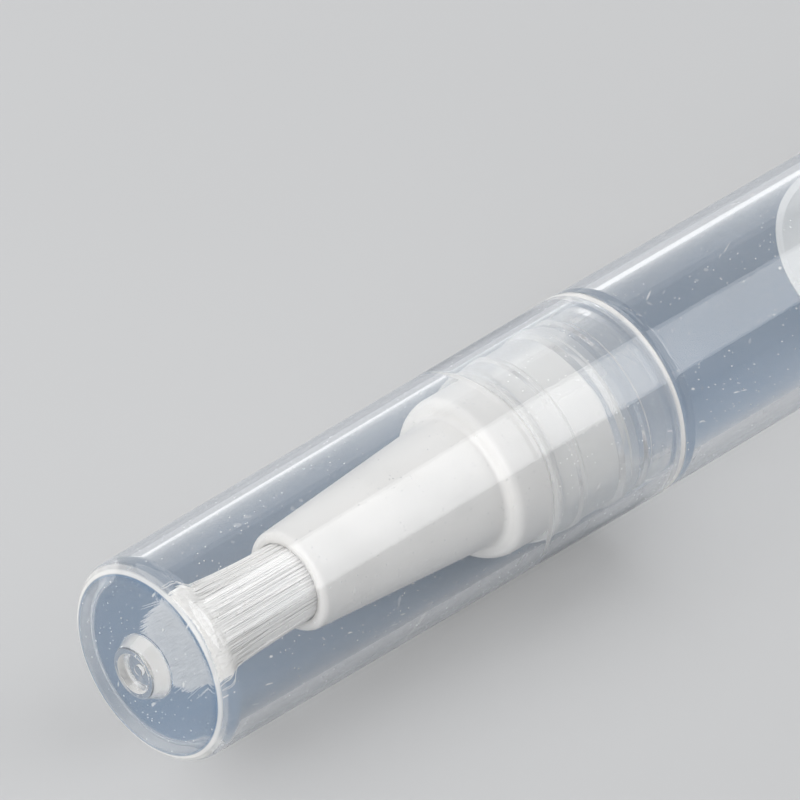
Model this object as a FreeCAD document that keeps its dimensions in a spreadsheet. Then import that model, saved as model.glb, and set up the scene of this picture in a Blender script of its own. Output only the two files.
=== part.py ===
# Nail oil pen: a twist-feed brush pen with a pull-off cap, lying on its side.
# Frame: X runs along the pen, cap towards -X and twist knob towards +X, Z is up, and the origin
# is the bottom centre of the pen's box. Every body is drawn about its own X axis from the plane
# where the cap's mouth meets the barrel's shoulder, and its placement puts that plane in the frame.
import FreeCAD, Part
import math
import os
import re
import Sketcher

# Driving sizes in millimetres (angles in degrees, counts as numbers), with what each one is.
SIZES = (
    # Fits shared by several pieces.
    ("press_gap", 0.02, "gap left between pieces pressed into each other"),
    ("turn_gap", 0.10, "radial gap between pieces that turn in each other"),
    ("seat_gap", 0.05, "gap between the cap's mouth and the shoulder"),
    # Cap.
    ("cap_length", 34.0, "closed end face to mouth"),
    ("cap_proud", 0.025, "how far the mouth stands out from the barrel's side"),
    ("cap_draft", 0.30, "how much slimmer the closed end is than the mouth, on the radius"),
    ("cap_wall", 0.70, "wall at the mouth"),
    ("cap_end_wall", 0.80, "wall at the closed end"),
    ("cap_end_thickness", 1.00, "closed end"),
    ("cap_end_round", 0.90, "outer edge of the closed end"),
    ("cap_inner_edge", 0.50, "bevel at the inner edge of the closed end"),
    ("cap_socket_depth", 9.80, "straight socket that takes the neck"),
    ("cap_socket_step", 0.18, "step from the socket to the tapered cavity"),
    ("boss_base_diameter", 3.70, "gate boss on the closed end, base"),
    ("boss_top_diameter", 2.90, "gate boss, top"),
    ("boss_height", 0.95, "gate boss"),
    ("crater_rim_diameter", 2.30, "hollow in the gate boss, rim"),
    ("crater_floor_diameter", 1.80, "hollow in the gate boss, floor"),
    ("crater_depth", 0.55, "hollow in the gate boss"),
    ("gate_nub_diameter", 0.60, "gate vestige"),
    ("gate_nub_height", 0.22, "gate vestige"),
    # Barrel.
    ("barrel_diameter", 11.95, "outside"),
    ("barrel_length", 59.0, "shoulder to rear end"),
    ("barrel_wall", 1.00, "wall along the oil chamber"),
    ("barrel_edge", 0.15, "bevel on the outer edges of the shoulder and the rear end"),
    ("neck_length", 8.90, "neck in front of the shoulder"),
    ("neck_wall", 0.85, "neck wall"),
    ("neck_gap", 0.08, "radial gap between the snap bead and the cap's socket"),
    ("neck_edge", 0.25, "bevel at the front of the neck"),
    ("bead_height", 0.18, "snap bead on the neck"),
    ("bead_width", 1.00, "snap bead at its foot"),
    ("bead_offset", 4.00, "snap bead in front of the shoulder"),
    ("ridge_height", 0.10, "guide ridge on the neck"),
    ("ridge_width", 0.60, "guide ridge at its foot"),
    ("ridge_offset", 7.20, "guide ridge in front of the shoulder"),
    ("stop_ring_height", 0.12, "ring behind the snap bead"),
    ("stop_ring_width", 0.60, "ring behind the snap bead, at its foot"),
    ("stop_ring_offset", 2.30, "ring behind the snap bead, in front of the shoulder"),
    ("bore_cone_length", 1.20, "cone from the neck bore to the chamber bore"),
    ("rear_step", 0.20, "step from the chamber bore to the wider rear bore"),
    ("key_groove_width", 1.20, "grooves in the rear bore that keep the nut from turning"),
    ("key_groove_depth", 0.30, "the same grooves"),
    ("key_count", 4, "the same grooves"),
    # Brush, its seat, the nozzle that holds it and the feed plug behind it.
    ("nozzle_front_diameter", 5.70, "nozzle at its front"),
    ("nozzle_front_round", 0.45, "edge of the nozzle's front"),
    ("flange_front_offset", 11.6, "flange front in front of the shoulder"),
    ("flange_gap", 0.65, "gap between the flange and the cap's socket"),
    ("flange_step", 0.90, "how far the flange stands out from the cone"),
    ("flange_round", 0.50, "front edge of the flange"),
    ("plug_length", 5.20, "part of the nozzle inside the neck"),
    ("plug_edge", 0.30, "bevel at the rear of that part"),
    ("tuft_diameter", 4.40, "bristles where they leave the nozzle"),
    ("tuft_tip_diameter", 5.00, "bristles at their widest, near the tip"),
    ("tuft_length", 8.00, "bristles in front of the nozzle"),
    ("tuft_crown", 1.40, "rounded end of the bristles"),
    ("tuft_crown_diameter", 3.00, "flat end of the bristles"),
    ("tuft_root_length", 5.00, "bristles inside the nozzle"),
    ("tuft_gap", 0.06, "gap between the bristles and the hole they stand in"),
    ("tuft_end_gap", 0.90, "gap between the bristles and the cap's closed end"),
    ("seat_length", 2.40, "collar round the root of the bristles"),
    ("seat_wall", 0.55, "collar wall"),
    ("seat_floor", 0.80, "collar floor behind the bristles"),
    ("feed_hole_diameter", 1.10, "oil hole through the collar floor and the feed plug"),
    ("feed_flange_gap", 0.59, "gap between the flange of the feed plug and the neck"),
    ("feed_flange_length", 0.80, "flange of the feed plug"),
    ("feed_cup_diameter", 3.20, "cup at the back of the feed plug"),
    ("feed_cup_depth", 4.00, "cup at the back of the feed plug"),
    # Piston.
    ("piston_front", 18.1, "front lip behind the shoulder, as in the photo"),
    ("piston_length", 7.00, "front lip to rear lip"),
    ("piston_gap", 0.06, "radial gap between the lips and the bore"),
    ("piston_waist", 0.45, "how far the waist stands in from the lips"),
    ("lip_length", 1.60, "each sealing lip"),
    ("lip_wall", 0.55, "each sealing lip at its edge"),
    ("piston_floor_width", 0.815, "flat ring between the front lip and the cone inside it"),
    ("piston_nose_length", 1.30, "cone inside the front lip"),
    ("piston_floor", 0.90, "depth of the floor behind the front lip"),
    ("socket_depth", 3.00, "front of the screw's socket behind the front lip"),
    ("socket_mouth_depth", 5.00, "rear of the screw's socket behind the front lip"),
    # Lead screw.
    ("screw_length", 54.0, "head to rear end"),
    ("screw_core_diameter", 3.20, "core"),
    ("screw_crest_diameter", 4.40, "over the thread"),
    ("screw_flats", 3.00, "across the two flats"),
    ("screw_pitch", 3.00, "thread pitch"),
    ("tooth_root_width", 1.10, "thread tooth at the core"),
    ("tooth_crest_width", 0.50, "thread tooth at the crest"),
    ("thread_start", 5.60, "first tooth behind the screw's front"),
    ("thread_end", 1.80, "plain length at the rear"),
    ("head_diameter", 3.80, "snap head in the piston"),
    ("head_length", 1.40, "snap head"),
    ("head_gap", 0.15, "gap all round the snap head"),
    ("head_neck_diameter", 2.60, "neck behind the snap head"),
    ("head_bevel", 0.35, "front edge of the snap head"),
    ("screw_bevel", 0.40, "rear edge of the screw"),
    # Fixed nut.
    ("nut_length", 6.00, "nut"),
    ("nut_web", 2.20, "web between the nut's hub and rim"),
    ("nut_rim_wall", 0.90, "rim"),
    ("nut_hub_wall", 0.82, "hub"),
    ("lug_gap", 0.18, "radial gap between the lugs and the screw's core"),
    ("lug_tip_width", 0.95, "thread lug at its tip"),
    ("lug_foot_width", 1.45, "thread lug at the bore"),
    ("lug_span", 2.60, "thread lug along the turn"),
    ("lug_margin", 1.20, "least distance from the nut's front to a lug's middle"),
    # Ratchet ring and click ring.
    ("ratchet_length", 3.20, "ratchet ring"),
    ("ratchet_teeth", 12, "saw teeth inside the ratchet ring"),
    ("ratchet_wall", 0.535, "ratchet ring at the roots of the saw teeth"),
    ("ratchet_tooth_height", 0.34, "saw teeth"),
    ("ratchet_lead", 3.0, "degrees from the pawl's tip to the steep face"),
    ("click_length", 2.20, "click ring"),
    ("click_wall", 0.45, "hub of the click ring"),
    ("pawl_gap", 0.158, "gap between a pawl's tip and the roots of the saw teeth"),
    ("click_arm_root", 0.30, "pawl root beyond the hub's middle line"),
    ("click_arms", 2, "pawl arms"),
    # Drive sleeve.
    ("sleeve_gap", 0.30, "gap between the nut and the sleeve"),
    ("sleeve_front_wall", 0.60, "sleeve where it carries the click ring"),
    ("sleeve_wall", 1.20, "sleeve inside the knob"),
    ("sleeve_length", 16.0, "sleeve"),
    ("sleeve_play", 0.12, "gap between the sleeve's bore and the screw"),
    ("sleeve_key_width", 1.20, "keys on the sleeve"),
    ("sleeve_key_height", 0.50, "keys on the sleeve"),
    ("sleeve_key_length", 6.00, "keys on the sleeve"),
    ("sleeve_keys", 2, "keys on the sleeve"),
    # Twist knob and its end plug.
    ("knob_gap", 0.25, "gap between the barrel's rear end and the knob"),
    ("knob_length", 37.9, "visible part of the knob"),
    ("knob_wall", 1.65, "wall of the hollow tail"),
    ("knob_edge", 0.30, "bevel on the outer edges of the knob"),
    ("knob_web", 1.00, "wall behind the drive sleeve"),
    ("spigot_length", 5.50, "spigot inside the barrel"),
    ("spigot_gap", 0.30, "gap between the ratchet ring and the spigot"),
    ("spigot_bead_height", 0.22, "snap bead on the spigot"),
    ("spigot_bead_width", 1.20, "snap bead on the spigot"),
    ("spigot_bead_offset", 2.80, "snap bead in front of the barrel's rear end"),
    ("groove_gap", 0.15, "gap round that bead in the barrel's groove"),
    ("flute_count", 18, "grip flutes round the knob"),
    ("flute_diameter", 1.10, "grip flute"),
    ("flute_depth", 0.25, "grip flute"),
    ("flute_front", 4.00, "front of the flutes behind the knob's front"),
    ("flute_length", 26.0, "grip flutes"),
    ("tail_disc_length", 1.00, "disc of the end plug"),
    ("tail_disc_inset", 0.50, "how far the disc stands in from the knob's side"),
    ("tail_plug_length", 3.00, "part of the end plug inside the knob"),
    ("tail_plug_wall", 0.90, "wall of that part"),
    ("tail_edge", 0.30, "bevel on the edge of the disc"),
)

# Positions along the pen, each worked out from the sizes above.
MIDDLE = "((cap_length + boss_height) - (barrel_length + knob_gap + knob_length + tail_disc_length)) / 2"
SIDE = "(barrel_diameter / 2)"
CAP_MOUTH = f"({SIDE} + cap_proud)"
CAP_END = f"({CAP_MOUTH} - cap_draft)"
SOCKET_RADIUS = f"({CAP_MOUTH} - cap_wall)"
NECK_RADIUS = f"({SOCKET_RADIUS} - neck_gap - bead_height)"
NECK_BORE = f"({NECK_RADIUS} - neck_wall)"
NOZZLE_FRONT = "(cap_length - cap_end_thickness - tuft_end_gap - tuft_length)"
FLANGE_RADIUS = f"({SOCKET_RADIUS} - flange_gap)"
BORE = f"({SIDE} - barrel_wall)"
REAR_BORE = f"({BORE} + rear_step)"
SPIGOT_FRONT = "(barrel_length - spigot_length)"
RATCHET_REAR = f"({SPIGOT_FRONT} - spigot_gap)"
NUT_REAR = f"({RATCHET_REAR} - ratchet_length)"
NUT_FRONT = f"({NUT_REAR} - nut_length)"
RATCHET_ROOT = f"({REAR_BORE} - press_gap - ratchet_wall)"
RATCHET_TIP = f"({RATCHET_ROOT} - ratchet_tooth_height)"
KNOB_FRONT = "(barrel_length + knob_gap)"
KNOB_REAR = "(barrel_length + knob_gap + knob_length)"
TAIL = "(barrel_length + knob_gap + knob_length + tail_disc_length)"
SCREW_FRONT = "(piston_front + socket_depth + head_gap)"
SCREW_REAR = f"({SCREW_FRONT} + screw_length)"
FIRST_TOOTH = f"({SCREW_FRONT} + thread_start)"
SLEEVE_FRONT = f"({NUT_REAR} + sleeve_gap)"
SLEEVE_REAR = f"({SLEEVE_FRONT} + sleeve_length)"
SLEEVE_BORE = "(screw_crest_diameter / 2 + sleeve_play)"
SLEEVE_FRONT_RADIUS = f"({SLEEVE_BORE} + sleeve_front_wall)"
SLEEVE_RADIUS = f"({SLEEVE_BORE} + sleeve_wall)"
CLICK_BORE = f"({SLEEVE_FRONT_RADIUS} + press_gap)"
CLICK_RADIUS = f"({CLICK_BORE} + click_wall)"
PAWL_REACH = f"sqrt(({RATCHET_ROOT} - pawl_gap)^2 - {CLICK_RADIUS}^2)"
KNOB_BORE = f"({SLEEVE_RADIUS} + press_gap)"
PLUG_BORE = f"({SIDE} - knob_wall)"
TUFT_HOLE = "(tuft_diameter / 2 + tuft_gap)"
SEAT_RADIUS = f"({TUFT_HOLE} + seat_wall)"
SEAT_BORE = f"({SEAT_RADIUS} + press_gap)"
SEAT_FRONT = f"(tuft_root_length - seat_length + seat_floor - {NOZZLE_FRONT})"
SEAT_REAR = f"({SEAT_FRONT} + seat_length)"
PLUG_REAR = "(plug_length - neck_length)"
HELIX_TILT = "atan(screw_pitch / (pi * (screw_core_diameter + screw_crest_diameter) / 2))"

doc = FreeCAD.newDocument("nail_oil_pen")
sheet = doc.addObject("Spreadsheet::Sheet", "Sizes")
for row, (alias, size, meaning) in enumerate(SIZES, start=1):
    sheet.set(f"A{row}", alias)
    sheet.set(f"B{row}", str(size))
    sheet.set(f"C{row}", meaning)
    sheet.setAlias(f"B{row}", alias)
doc.recompute()

ALIASES = {alias for alias, size, meaning in SIZES}
MATCH_SHARE = 1e-4


def bound(text):
    """The expression with every size name turned into its spreadsheet cell."""
    return re.sub(r"[a-z_]+", lambda word: f"Sizes.{word[0]}" if word[0] in ALIASES else word[0], text)


def new_body(label):
    """A body whose own origin lies on the pen's axis in the shoulder plane."""
    body = doc.addObject("PartDesign::Body", label)
    body.Label = label
    body.setExpression("Placement.Base.x", bound(MIDDLE))
    body.setExpression("Placement.Base.z", bound(CAP_MOUTH))
    return body


def origin_feature(body, role):
    """One of the body's own origin planes or axes."""
    return next(feature for feature in body.Origin.OriginFeatures if feature.Role == role)


def new_sketch(body, name, role, shift=None, shift_axis="z", tilt=None):
    """A sketch on one of the body's origin planes, moved along one of its axes and tilted if asked."""
    sketch = body.newObject("Sketcher::SketchObject", name)
    sketch.AttachmentSupport = [(origin_feature(body, role), "")]
    sketch.MapMode = "FlatFace"
    if tilt is not None:
        turn = FreeCAD.Rotation(FreeCAD.Vector(0, 1, 0), 1)
        sketch.AttachmentOffset = FreeCAD.Placement(FreeCAD.Vector(), turn)
        sketch.setExpression("AttachmentOffset.Rotation.Angle", bound(tilt))
    if shift is not None:
        sketch.setExpression(f"AttachmentOffset.Base.{shift_axis}", bound(shift))
    return sketch


def bind_point(sketch, segment, name, across, up):
    """Bind a segment's start to two expressions, measured from the sketch's origin."""
    for kind, suffix, text, axis in (("DistanceX", "u", across, -2), ("DistanceY", "r", up, -1)):
        if text == "0":
            sketch.addConstraint(Sketcher.Constraint("PointOnObject", segment, 1, axis))
            continue
        index = sketch.addConstraint(Sketcher.Constraint(kind, -1, 1, segment, 1, 1.0))
        sketch.renameConstraint(index, f"{name}_{suffix}")
        sketch.setExpression(f".Constraints.{name}_{suffix}", bound(text))


def outline(sketch, points):
    """A closed outline of straight segments through named points (name, across, up)."""
    turn = 2 * math.pi / len(points)
    corners = [FreeCAD.Vector(math.cos(turn * i), math.sin(turn * i), 0) for i in range(len(points))]
    for i in range(len(points)):
        sketch.addGeometry(Part.LineSegment(corners[i], corners[(i + 1) % len(points)]))
    for i in range(len(points)):
        sketch.addConstraint(Sketcher.Constraint("Coincident", i, 2, (i + 1) % len(points), 1))
    for i, (name, across, up) in enumerate(points):
        bind_point(sketch, i, name, across, up)
    return sketch


def two_flat_hole(sketch, radius, half_flats):
    """A round outline about the sketch's origin, cut by two upright flats."""
    reach = 2.0
    half = 1.0
    rise = math.sqrt(reach ** 2 - half ** 2)
    ring = Part.Circle(FreeCAD.Vector(), FreeCAD.Vector(0, 0, 1), reach)
    edge = math.atan2(rise, half)
    signs = ((1, -1), (1, 1), (-1, 1), (-1, -1))
    corners = [FreeCAD.Vector(half * across, rise * up, 0) for across, up in signs]
    right = sketch.addGeometry(Part.LineSegment(corners[0], corners[1]))
    upper = sketch.addGeometry(Part.ArcOfCircle(ring, edge, math.pi - edge))
    left = sketch.addGeometry(Part.LineSegment(corners[2], corners[3]))
    lower = sketch.addGeometry(Part.ArcOfCircle(ring, math.pi + edge, 2 * math.pi - edge))
    loop = (right, upper, left, lower)
    for i, piece in enumerate(loop):
        sketch.addConstraint(Sketcher.Constraint("Coincident", piece, 2, loop[(i + 1) % len(loop)], 1))
    for arc in (upper, lower):
        sketch.addConstraint(Sketcher.Constraint("Coincident", arc, 3, -1, 1))
    for flat in (right, left):
        sketch.addConstraint(Sketcher.Constraint("Vertical", flat))
    sketch.addConstraint(Sketcher.Constraint("Equal", upper, lower))
    for name, limit, text in (
        ("radius", Sketcher.Constraint("Radius", upper, reach), radius),
        ("right_flat", Sketcher.Constraint("DistanceX", -1, 1, right, 1, half), half_flats),
        ("left_flat", Sketcher.Constraint("DistanceX", left, 1, -1, 1, half), half_flats),
    ):
        sketch.renameConstraint(sketch.addConstraint(limit), name)
        sketch.setExpression(f".Constraints.{name}", bound(text))
    return sketch


def turned(body, points):
    """The body's main form: a half section (name, distance along the axis, radius) turned about X."""
    sketch = outline(new_sketch(body, body.Label + "_section", "XZ_Plane"), points)
    turning = body.newObject("PartDesign::Revolution", body.Label + "_form")
    turning.Profile = sketch
    turning.ReferenceAxis = (sketch, ["H_Axis"])
    turning.Angle = 360
    doc.recompute()
    return sketch


def rounded(body, sketch, name, radius):
    """Round the ring edge that a named point of a section made."""
    base = body.Tip
    place = sketch.getDatum(f"{name}_u").Value
    size = sketch.getDatum(f"{name}_r").Value
    slack = MATCH_SHARE * size
    edges = []
    for number, edge in enumerate(base.Shape.Edges, start=1):
        if not isinstance(edge.Curve, Part.Circle):
            continue
        if abs(edge.Curve.Radius - size) < slack and abs(edge.Curve.Center.x - place) < slack:
            edges.append(f"Edge{number}")
    fillet = body.newObject("PartDesign::Fillet", f"{body.Label}_round_{name}")
    fillet.Base = (base, edges)
    fillet.setExpression("Radius", bound(radius))
    doc.recompute()


def pad(body, name, sketch, length, both_ways=False):
    """Add the sketch's area, pushed along its normal."""
    feature = body.newObject("PartDesign::Pad", name)
    feature.Profile = sketch
    feature.Midplane = both_ways
    feature.setExpression("Length", bound(length))
    doc.recompute()
    return feature


def pocket(body, name, sketch, length, both_ways=False):
    """Cut the sketch's area, pushed along its normal."""
    feature = body.newObject("PartDesign::Pocket", name)
    feature.Profile = sketch
    feature.Midplane = both_ways
    feature.Reversed = not both_ways
    feature.setExpression("Length", bound(length))
    before = body.Tip.BaseFeature.Shape.Volume
    doc.recompute()
    if feature.Shape.Volume >= before:
        raise RuntimeError(f"{name} cuts nothing")
    return feature


def round_pattern(body, name, feature, count):
    """Repeat a feature evenly round the pen's axis."""
    pattern = body.newObject("PartDesign::PolarPattern", name)
    pattern.Originals = [feature]
    pattern.Axis = (origin_feature(body, "X_Axis"), [""])
    pattern.Angle = 360
    pattern.setExpression("Occurrences", bound(count))
    body.Tip = pattern
    doc.recompute()


def bead(name, place, width, height, foot):
    """Four points of a bead or ridge: its foot, its bevelled crown and its foot again."""
    return [
        (f"{name}_front", f"{place} - {width} / 2", foot),
        (f"{name}_crown_front", f"{place} - {width} / 6", f"{foot} + {height}"),
        (f"{name}_crown_rear", f"{place} + {width} / 6", f"{foot} + {height}"),
        (f"{name}_rear", f"{place} + {width} / 2", foot),
    ]


def spiral_tooth(body, name, role, side, place, tip_width, foot_width, foot, tip, span, tilt):
    """One thread tooth: a trapezium in the plane across the thread, pushed both ways along the thread."""
    sketch = new_sketch(body, f"{name}_section", role, place, "x", tilt)
    outline(sketch, [
        ("foot_front", f"-({foot_width}) / 2", f"{side} * ({foot})"),
        ("tip_front", f"-({tip_width}) / 2", f"{side} * ({tip})"),
        ("tip_rear", f"({tip_width}) / 2", f"{side} * ({tip})"),
        ("foot_rear", f"({foot_width}) / 2", f"{side} * ({foot})"),
    ])
    return pad(body, name, sketch, span, both_ways=True)


def build_cap():
    """Thin tapered shell, closed at one end by a flat wall with the moulding gate's boss in its middle."""
    body = new_body("cap")
    end = "-cap_length"
    boss = "-(cap_length + boss_height)"
    floor = "-(cap_length + boss_height - crater_depth)"
    nub = "-(cap_length + boss_height - crater_depth + gate_nub_height)"
    inner_end = "-(cap_length - cap_end_thickness)"
    section = turned(body, [
        ("nub_middle", nub, "0"),
        ("nub_top", nub, "gate_nub_diameter / 2"),
        ("nub_foot", floor, "gate_nub_diameter / 2"),
        ("crater_floor", floor, "crater_floor_diameter / 2"),
        ("crater_rim", boss, "crater_rim_diameter / 2"),
        ("boss_top", boss, "boss_top_diameter / 2"),
        ("boss_base", end, "boss_base_diameter / 2"),
        ("end_edge", end, CAP_END),
        ("mouth_outer", "-seat_gap", CAP_MOUTH),
        ("mouth_inner", "-seat_gap", SOCKET_RADIUS),
        ("socket_end", "-cap_socket_depth", SOCKET_RADIUS),
        ("cavity_start", "-(cap_socket_depth + cap_socket_step)", f"{SOCKET_RADIUS} - cap_socket_step"),
        ("cavity_end", f"{inner_end} + cap_inner_edge", f"{CAP_END} - cap_end_wall"),
        ("cavity_floor", inner_end, f"{CAP_END} - cap_end_wall - cap_inner_edge"),
        ("cavity_middle", inner_end, "0"),
    ])
    rounded(body, section, "end_edge", "cap_end_round")
    return body


def build_barrel():
    """Tube with a stepped neck; the rear bore is wider and grooved to hold the nut and the ratchet ring."""
    body = new_body("barrel")
    bead_place = "(barrel_length - spigot_bead_offset)"
    groove = f"{REAR_BORE} - turn_gap + spigot_bead_height + groove_gap"
    turned(body, [
        ("neck_front_inner", "-neck_length", NECK_BORE),
        ("neck_front_outer", "-neck_length", f"{NECK_RADIUS} - neck_edge"),
        ("neck_bevel", "neck_edge - neck_length", NECK_RADIUS),
        *bead("ridge", "-ridge_offset", "ridge_width", "ridge_height", NECK_RADIUS),
        *bead("bead", "-bead_offset", "bead_width", "bead_height", NECK_RADIUS),
        *bead("ring", "-stop_ring_offset", "stop_ring_width", "stop_ring_height", NECK_RADIUS),
        ("neck_root", "0", NECK_RADIUS),
        ("shoulder", "0", f"{SIDE} - barrel_edge"),
        ("shoulder_bevel", "barrel_edge", SIDE),
        ("rear_bevel", "barrel_length - barrel_edge", SIDE),
        ("rear_outer", "barrel_length", f"{SIDE} - barrel_edge"),
        ("rear_inner", "barrel_length", REAR_BORE),
        ("groove_rear_rim", f"{bead_place} + spigot_bead_width / 2 + groove_gap", REAR_BORE),
        ("groove_rear", f"{bead_place} + spigot_bead_width / 6 + groove_gap", groove),
        ("groove_front", f"{bead_place} - spigot_bead_width / 6 - groove_gap", groove),
        ("groove_front_rim", f"{bead_place} - spigot_bead_width / 2 - groove_gap", REAR_BORE),
        ("nut_seat_outer", NUT_FRONT, REAR_BORE),
        ("nut_seat_inner", NUT_FRONT, BORE),
        ("chamber_front", "bore_cone_length", BORE),
        ("neck_bore_end", "0", NECK_BORE),
    ])
    key = outline(new_sketch(body, "key_groove_section", "YZ_Plane", NUT_FRONT), [
        ("inner_low", f"{REAR_BORE} - key_groove_depth", "-key_groove_width / 2"),
        ("outer_low", f"{REAR_BORE} + key_groove_depth", "-key_groove_width / 2"),
        ("outer_high", f"{REAR_BORE} + key_groove_depth", "key_groove_width / 2"),
        ("inner_high", f"{REAR_BORE} - key_groove_depth", "key_groove_width / 2"),
    ])
    cut = pocket(body, "key_groove", key, f"barrel_length - {NUT_FRONT}")
    round_pattern(body, "key_grooves", cut, "key_count")
    return body


def build_brush_holder():
    """White stepped nozzle: cone, flange that seats on the neck, and a plug pressed into the neck."""
    body = new_body("brush_holder")
    front = f"-{NOZZLE_FRONT}"
    flange = "-flange_front_offset"
    seat = "-neck_length"
    plug = f"{NECK_BORE} - press_gap"
    section = turned(body, [
        ("front_inner", front, TUFT_HOLE),
        ("front_outer", front, "nozzle_front_diameter / 2"),
        ("cone_rear", flange, f"{FLANGE_RADIUS} - flange_step"),
        ("flange_front", flange, FLANGE_RADIUS),
        ("flange_rear", seat, FLANGE_RADIUS),
        ("plug_front", seat, plug),
        ("plug_bevel", f"{PLUG_REAR} - plug_edge", plug),
        ("plug_rear", PLUG_REAR, f"{plug} - plug_edge"),
        ("bore_rear", PLUG_REAR, SEAT_BORE),
        ("bore_front", SEAT_FRONT, SEAT_BORE),
        ("hole_rear", SEAT_FRONT, TUFT_HOLE),
    ])
    rounded(body, section, "front_outer", "nozzle_front_round")
    rounded(body, section, "flange_front", "flange_round")
    return body


def build_brush_tuft():
    """The bundle of bristles as one closed form, widening a little towards its rounded end."""
    body = new_body("brush_tuft")
    exit_place = f"-{NOZZLE_FRONT}"
    tip = f"-({NOZZLE_FRONT} + tuft_length)"
    root = f"tuft_root_length - {NOZZLE_FRONT}"
    turned(body, [
        ("tip_middle", tip, "0"),
        ("tip_edge", tip, "tuft_crown_diameter / 2"),
        ("crown_middle", f"{tip} + tuft_crown / 3", "(tuft_crown_diameter + tuft_tip_diameter * 2) / 6"),
        ("crown_edge", f"{tip} + tuft_crown", "tuft_tip_diameter / 2"),
        ("exit", exit_place, "tuft_diameter / 2"),
        ("root_edge", root, "tuft_diameter / 2"),
        ("root_middle", root, "0"),
    ])
    return body


def build_brush_seat():
    """Collar that holds the fused root of the bristles against the nozzle's inner step."""
    body = new_body("brush_seat")
    turned(body, [
        ("front_inner", SEAT_FRONT, TUFT_HOLE),
        ("front_outer", SEAT_FRONT, SEAT_RADIUS),
        ("rear_outer", SEAT_REAR, SEAT_RADIUS),
        ("rear_inner", SEAT_REAR, "feed_hole_diameter / 2"),
        ("floor_hole", f"{SEAT_REAR} - seat_floor", "feed_hole_diameter / 2"),
        ("floor", f"{SEAT_REAR} - seat_floor", TUFT_HOLE),
    ])
    return body


def build_feed_plug():
    """Plug behind the collar with the fine hole that meters the oil, and a flange on the nozzle's rear."""
    body = new_body("feed_plug")
    rear = f"({PLUG_REAR} + feed_flange_length)"
    turned(body, [
        ("front_inner", SEAT_REAR, "feed_hole_diameter / 2"),
        ("front_outer", SEAT_REAR, SEAT_RADIUS),
        ("flange_root", PLUG_REAR, SEAT_RADIUS),
        ("flange_front", PLUG_REAR, f"{NECK_BORE} - feed_flange_gap"),
        ("flange_rear", rear, f"{NECK_BORE} - feed_flange_gap"),
        ("cup_rim", rear, "feed_cup_diameter / 2"),
        ("cup_floor", f"{rear} - feed_cup_depth", "feed_cup_diameter / 2"),
        ("hole_rear", f"{rear} - feed_cup_depth", "feed_hole_diameter / 2"),
    ])
    return body


def build_piston():
    """Soft piston with a sealing lip at each end and a closed socket for the screw's head."""
    body = new_body("piston")
    lip = f"{BORE} - piston_gap"
    waist = f"{BORE} - piston_gap - piston_waist"
    rear = "(piston_front + piston_length)"
    floor = "(piston_front + piston_floor)"
    back = "(piston_front + socket_mouth_depth)"
    pocket_rear = f"{SCREW_FRONT} + head_length + head_gap"
    turned(body, [
        ("nose", f"{floor} - piston_nose_length", "0"),
        ("nose_foot", floor, f"{waist} - lip_wall - piston_floor_width"),
        ("front_floor", floor, f"{waist} - lip_wall"),
        ("front_lip_inner", "piston_front", f"{lip} - lip_wall"),
        ("front_lip", "piston_front", lip),
        ("front_waist", "piston_front + lip_length", waist),
        ("rear_waist", f"{rear} - lip_length", waist),
        ("rear_lip", rear, lip),
        ("rear_lip_inner", rear, f"{lip} - lip_wall"),
        ("rear_floor", back, f"{waist} - lip_wall"),
        ("mouth", back, "head_neck_diameter / 2 + head_gap"),
        ("pocket_mouth", pocket_rear, "head_neck_diameter / 2 + head_gap"),
        ("pocket_rear", pocket_rear, "head_diameter / 2 + head_gap"),
        ("pocket_front", "piston_front + socket_depth", "head_diameter / 2 + head_gap"),
        ("pocket_middle", "piston_front + socket_depth", "0"),
    ])
    return body


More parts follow.
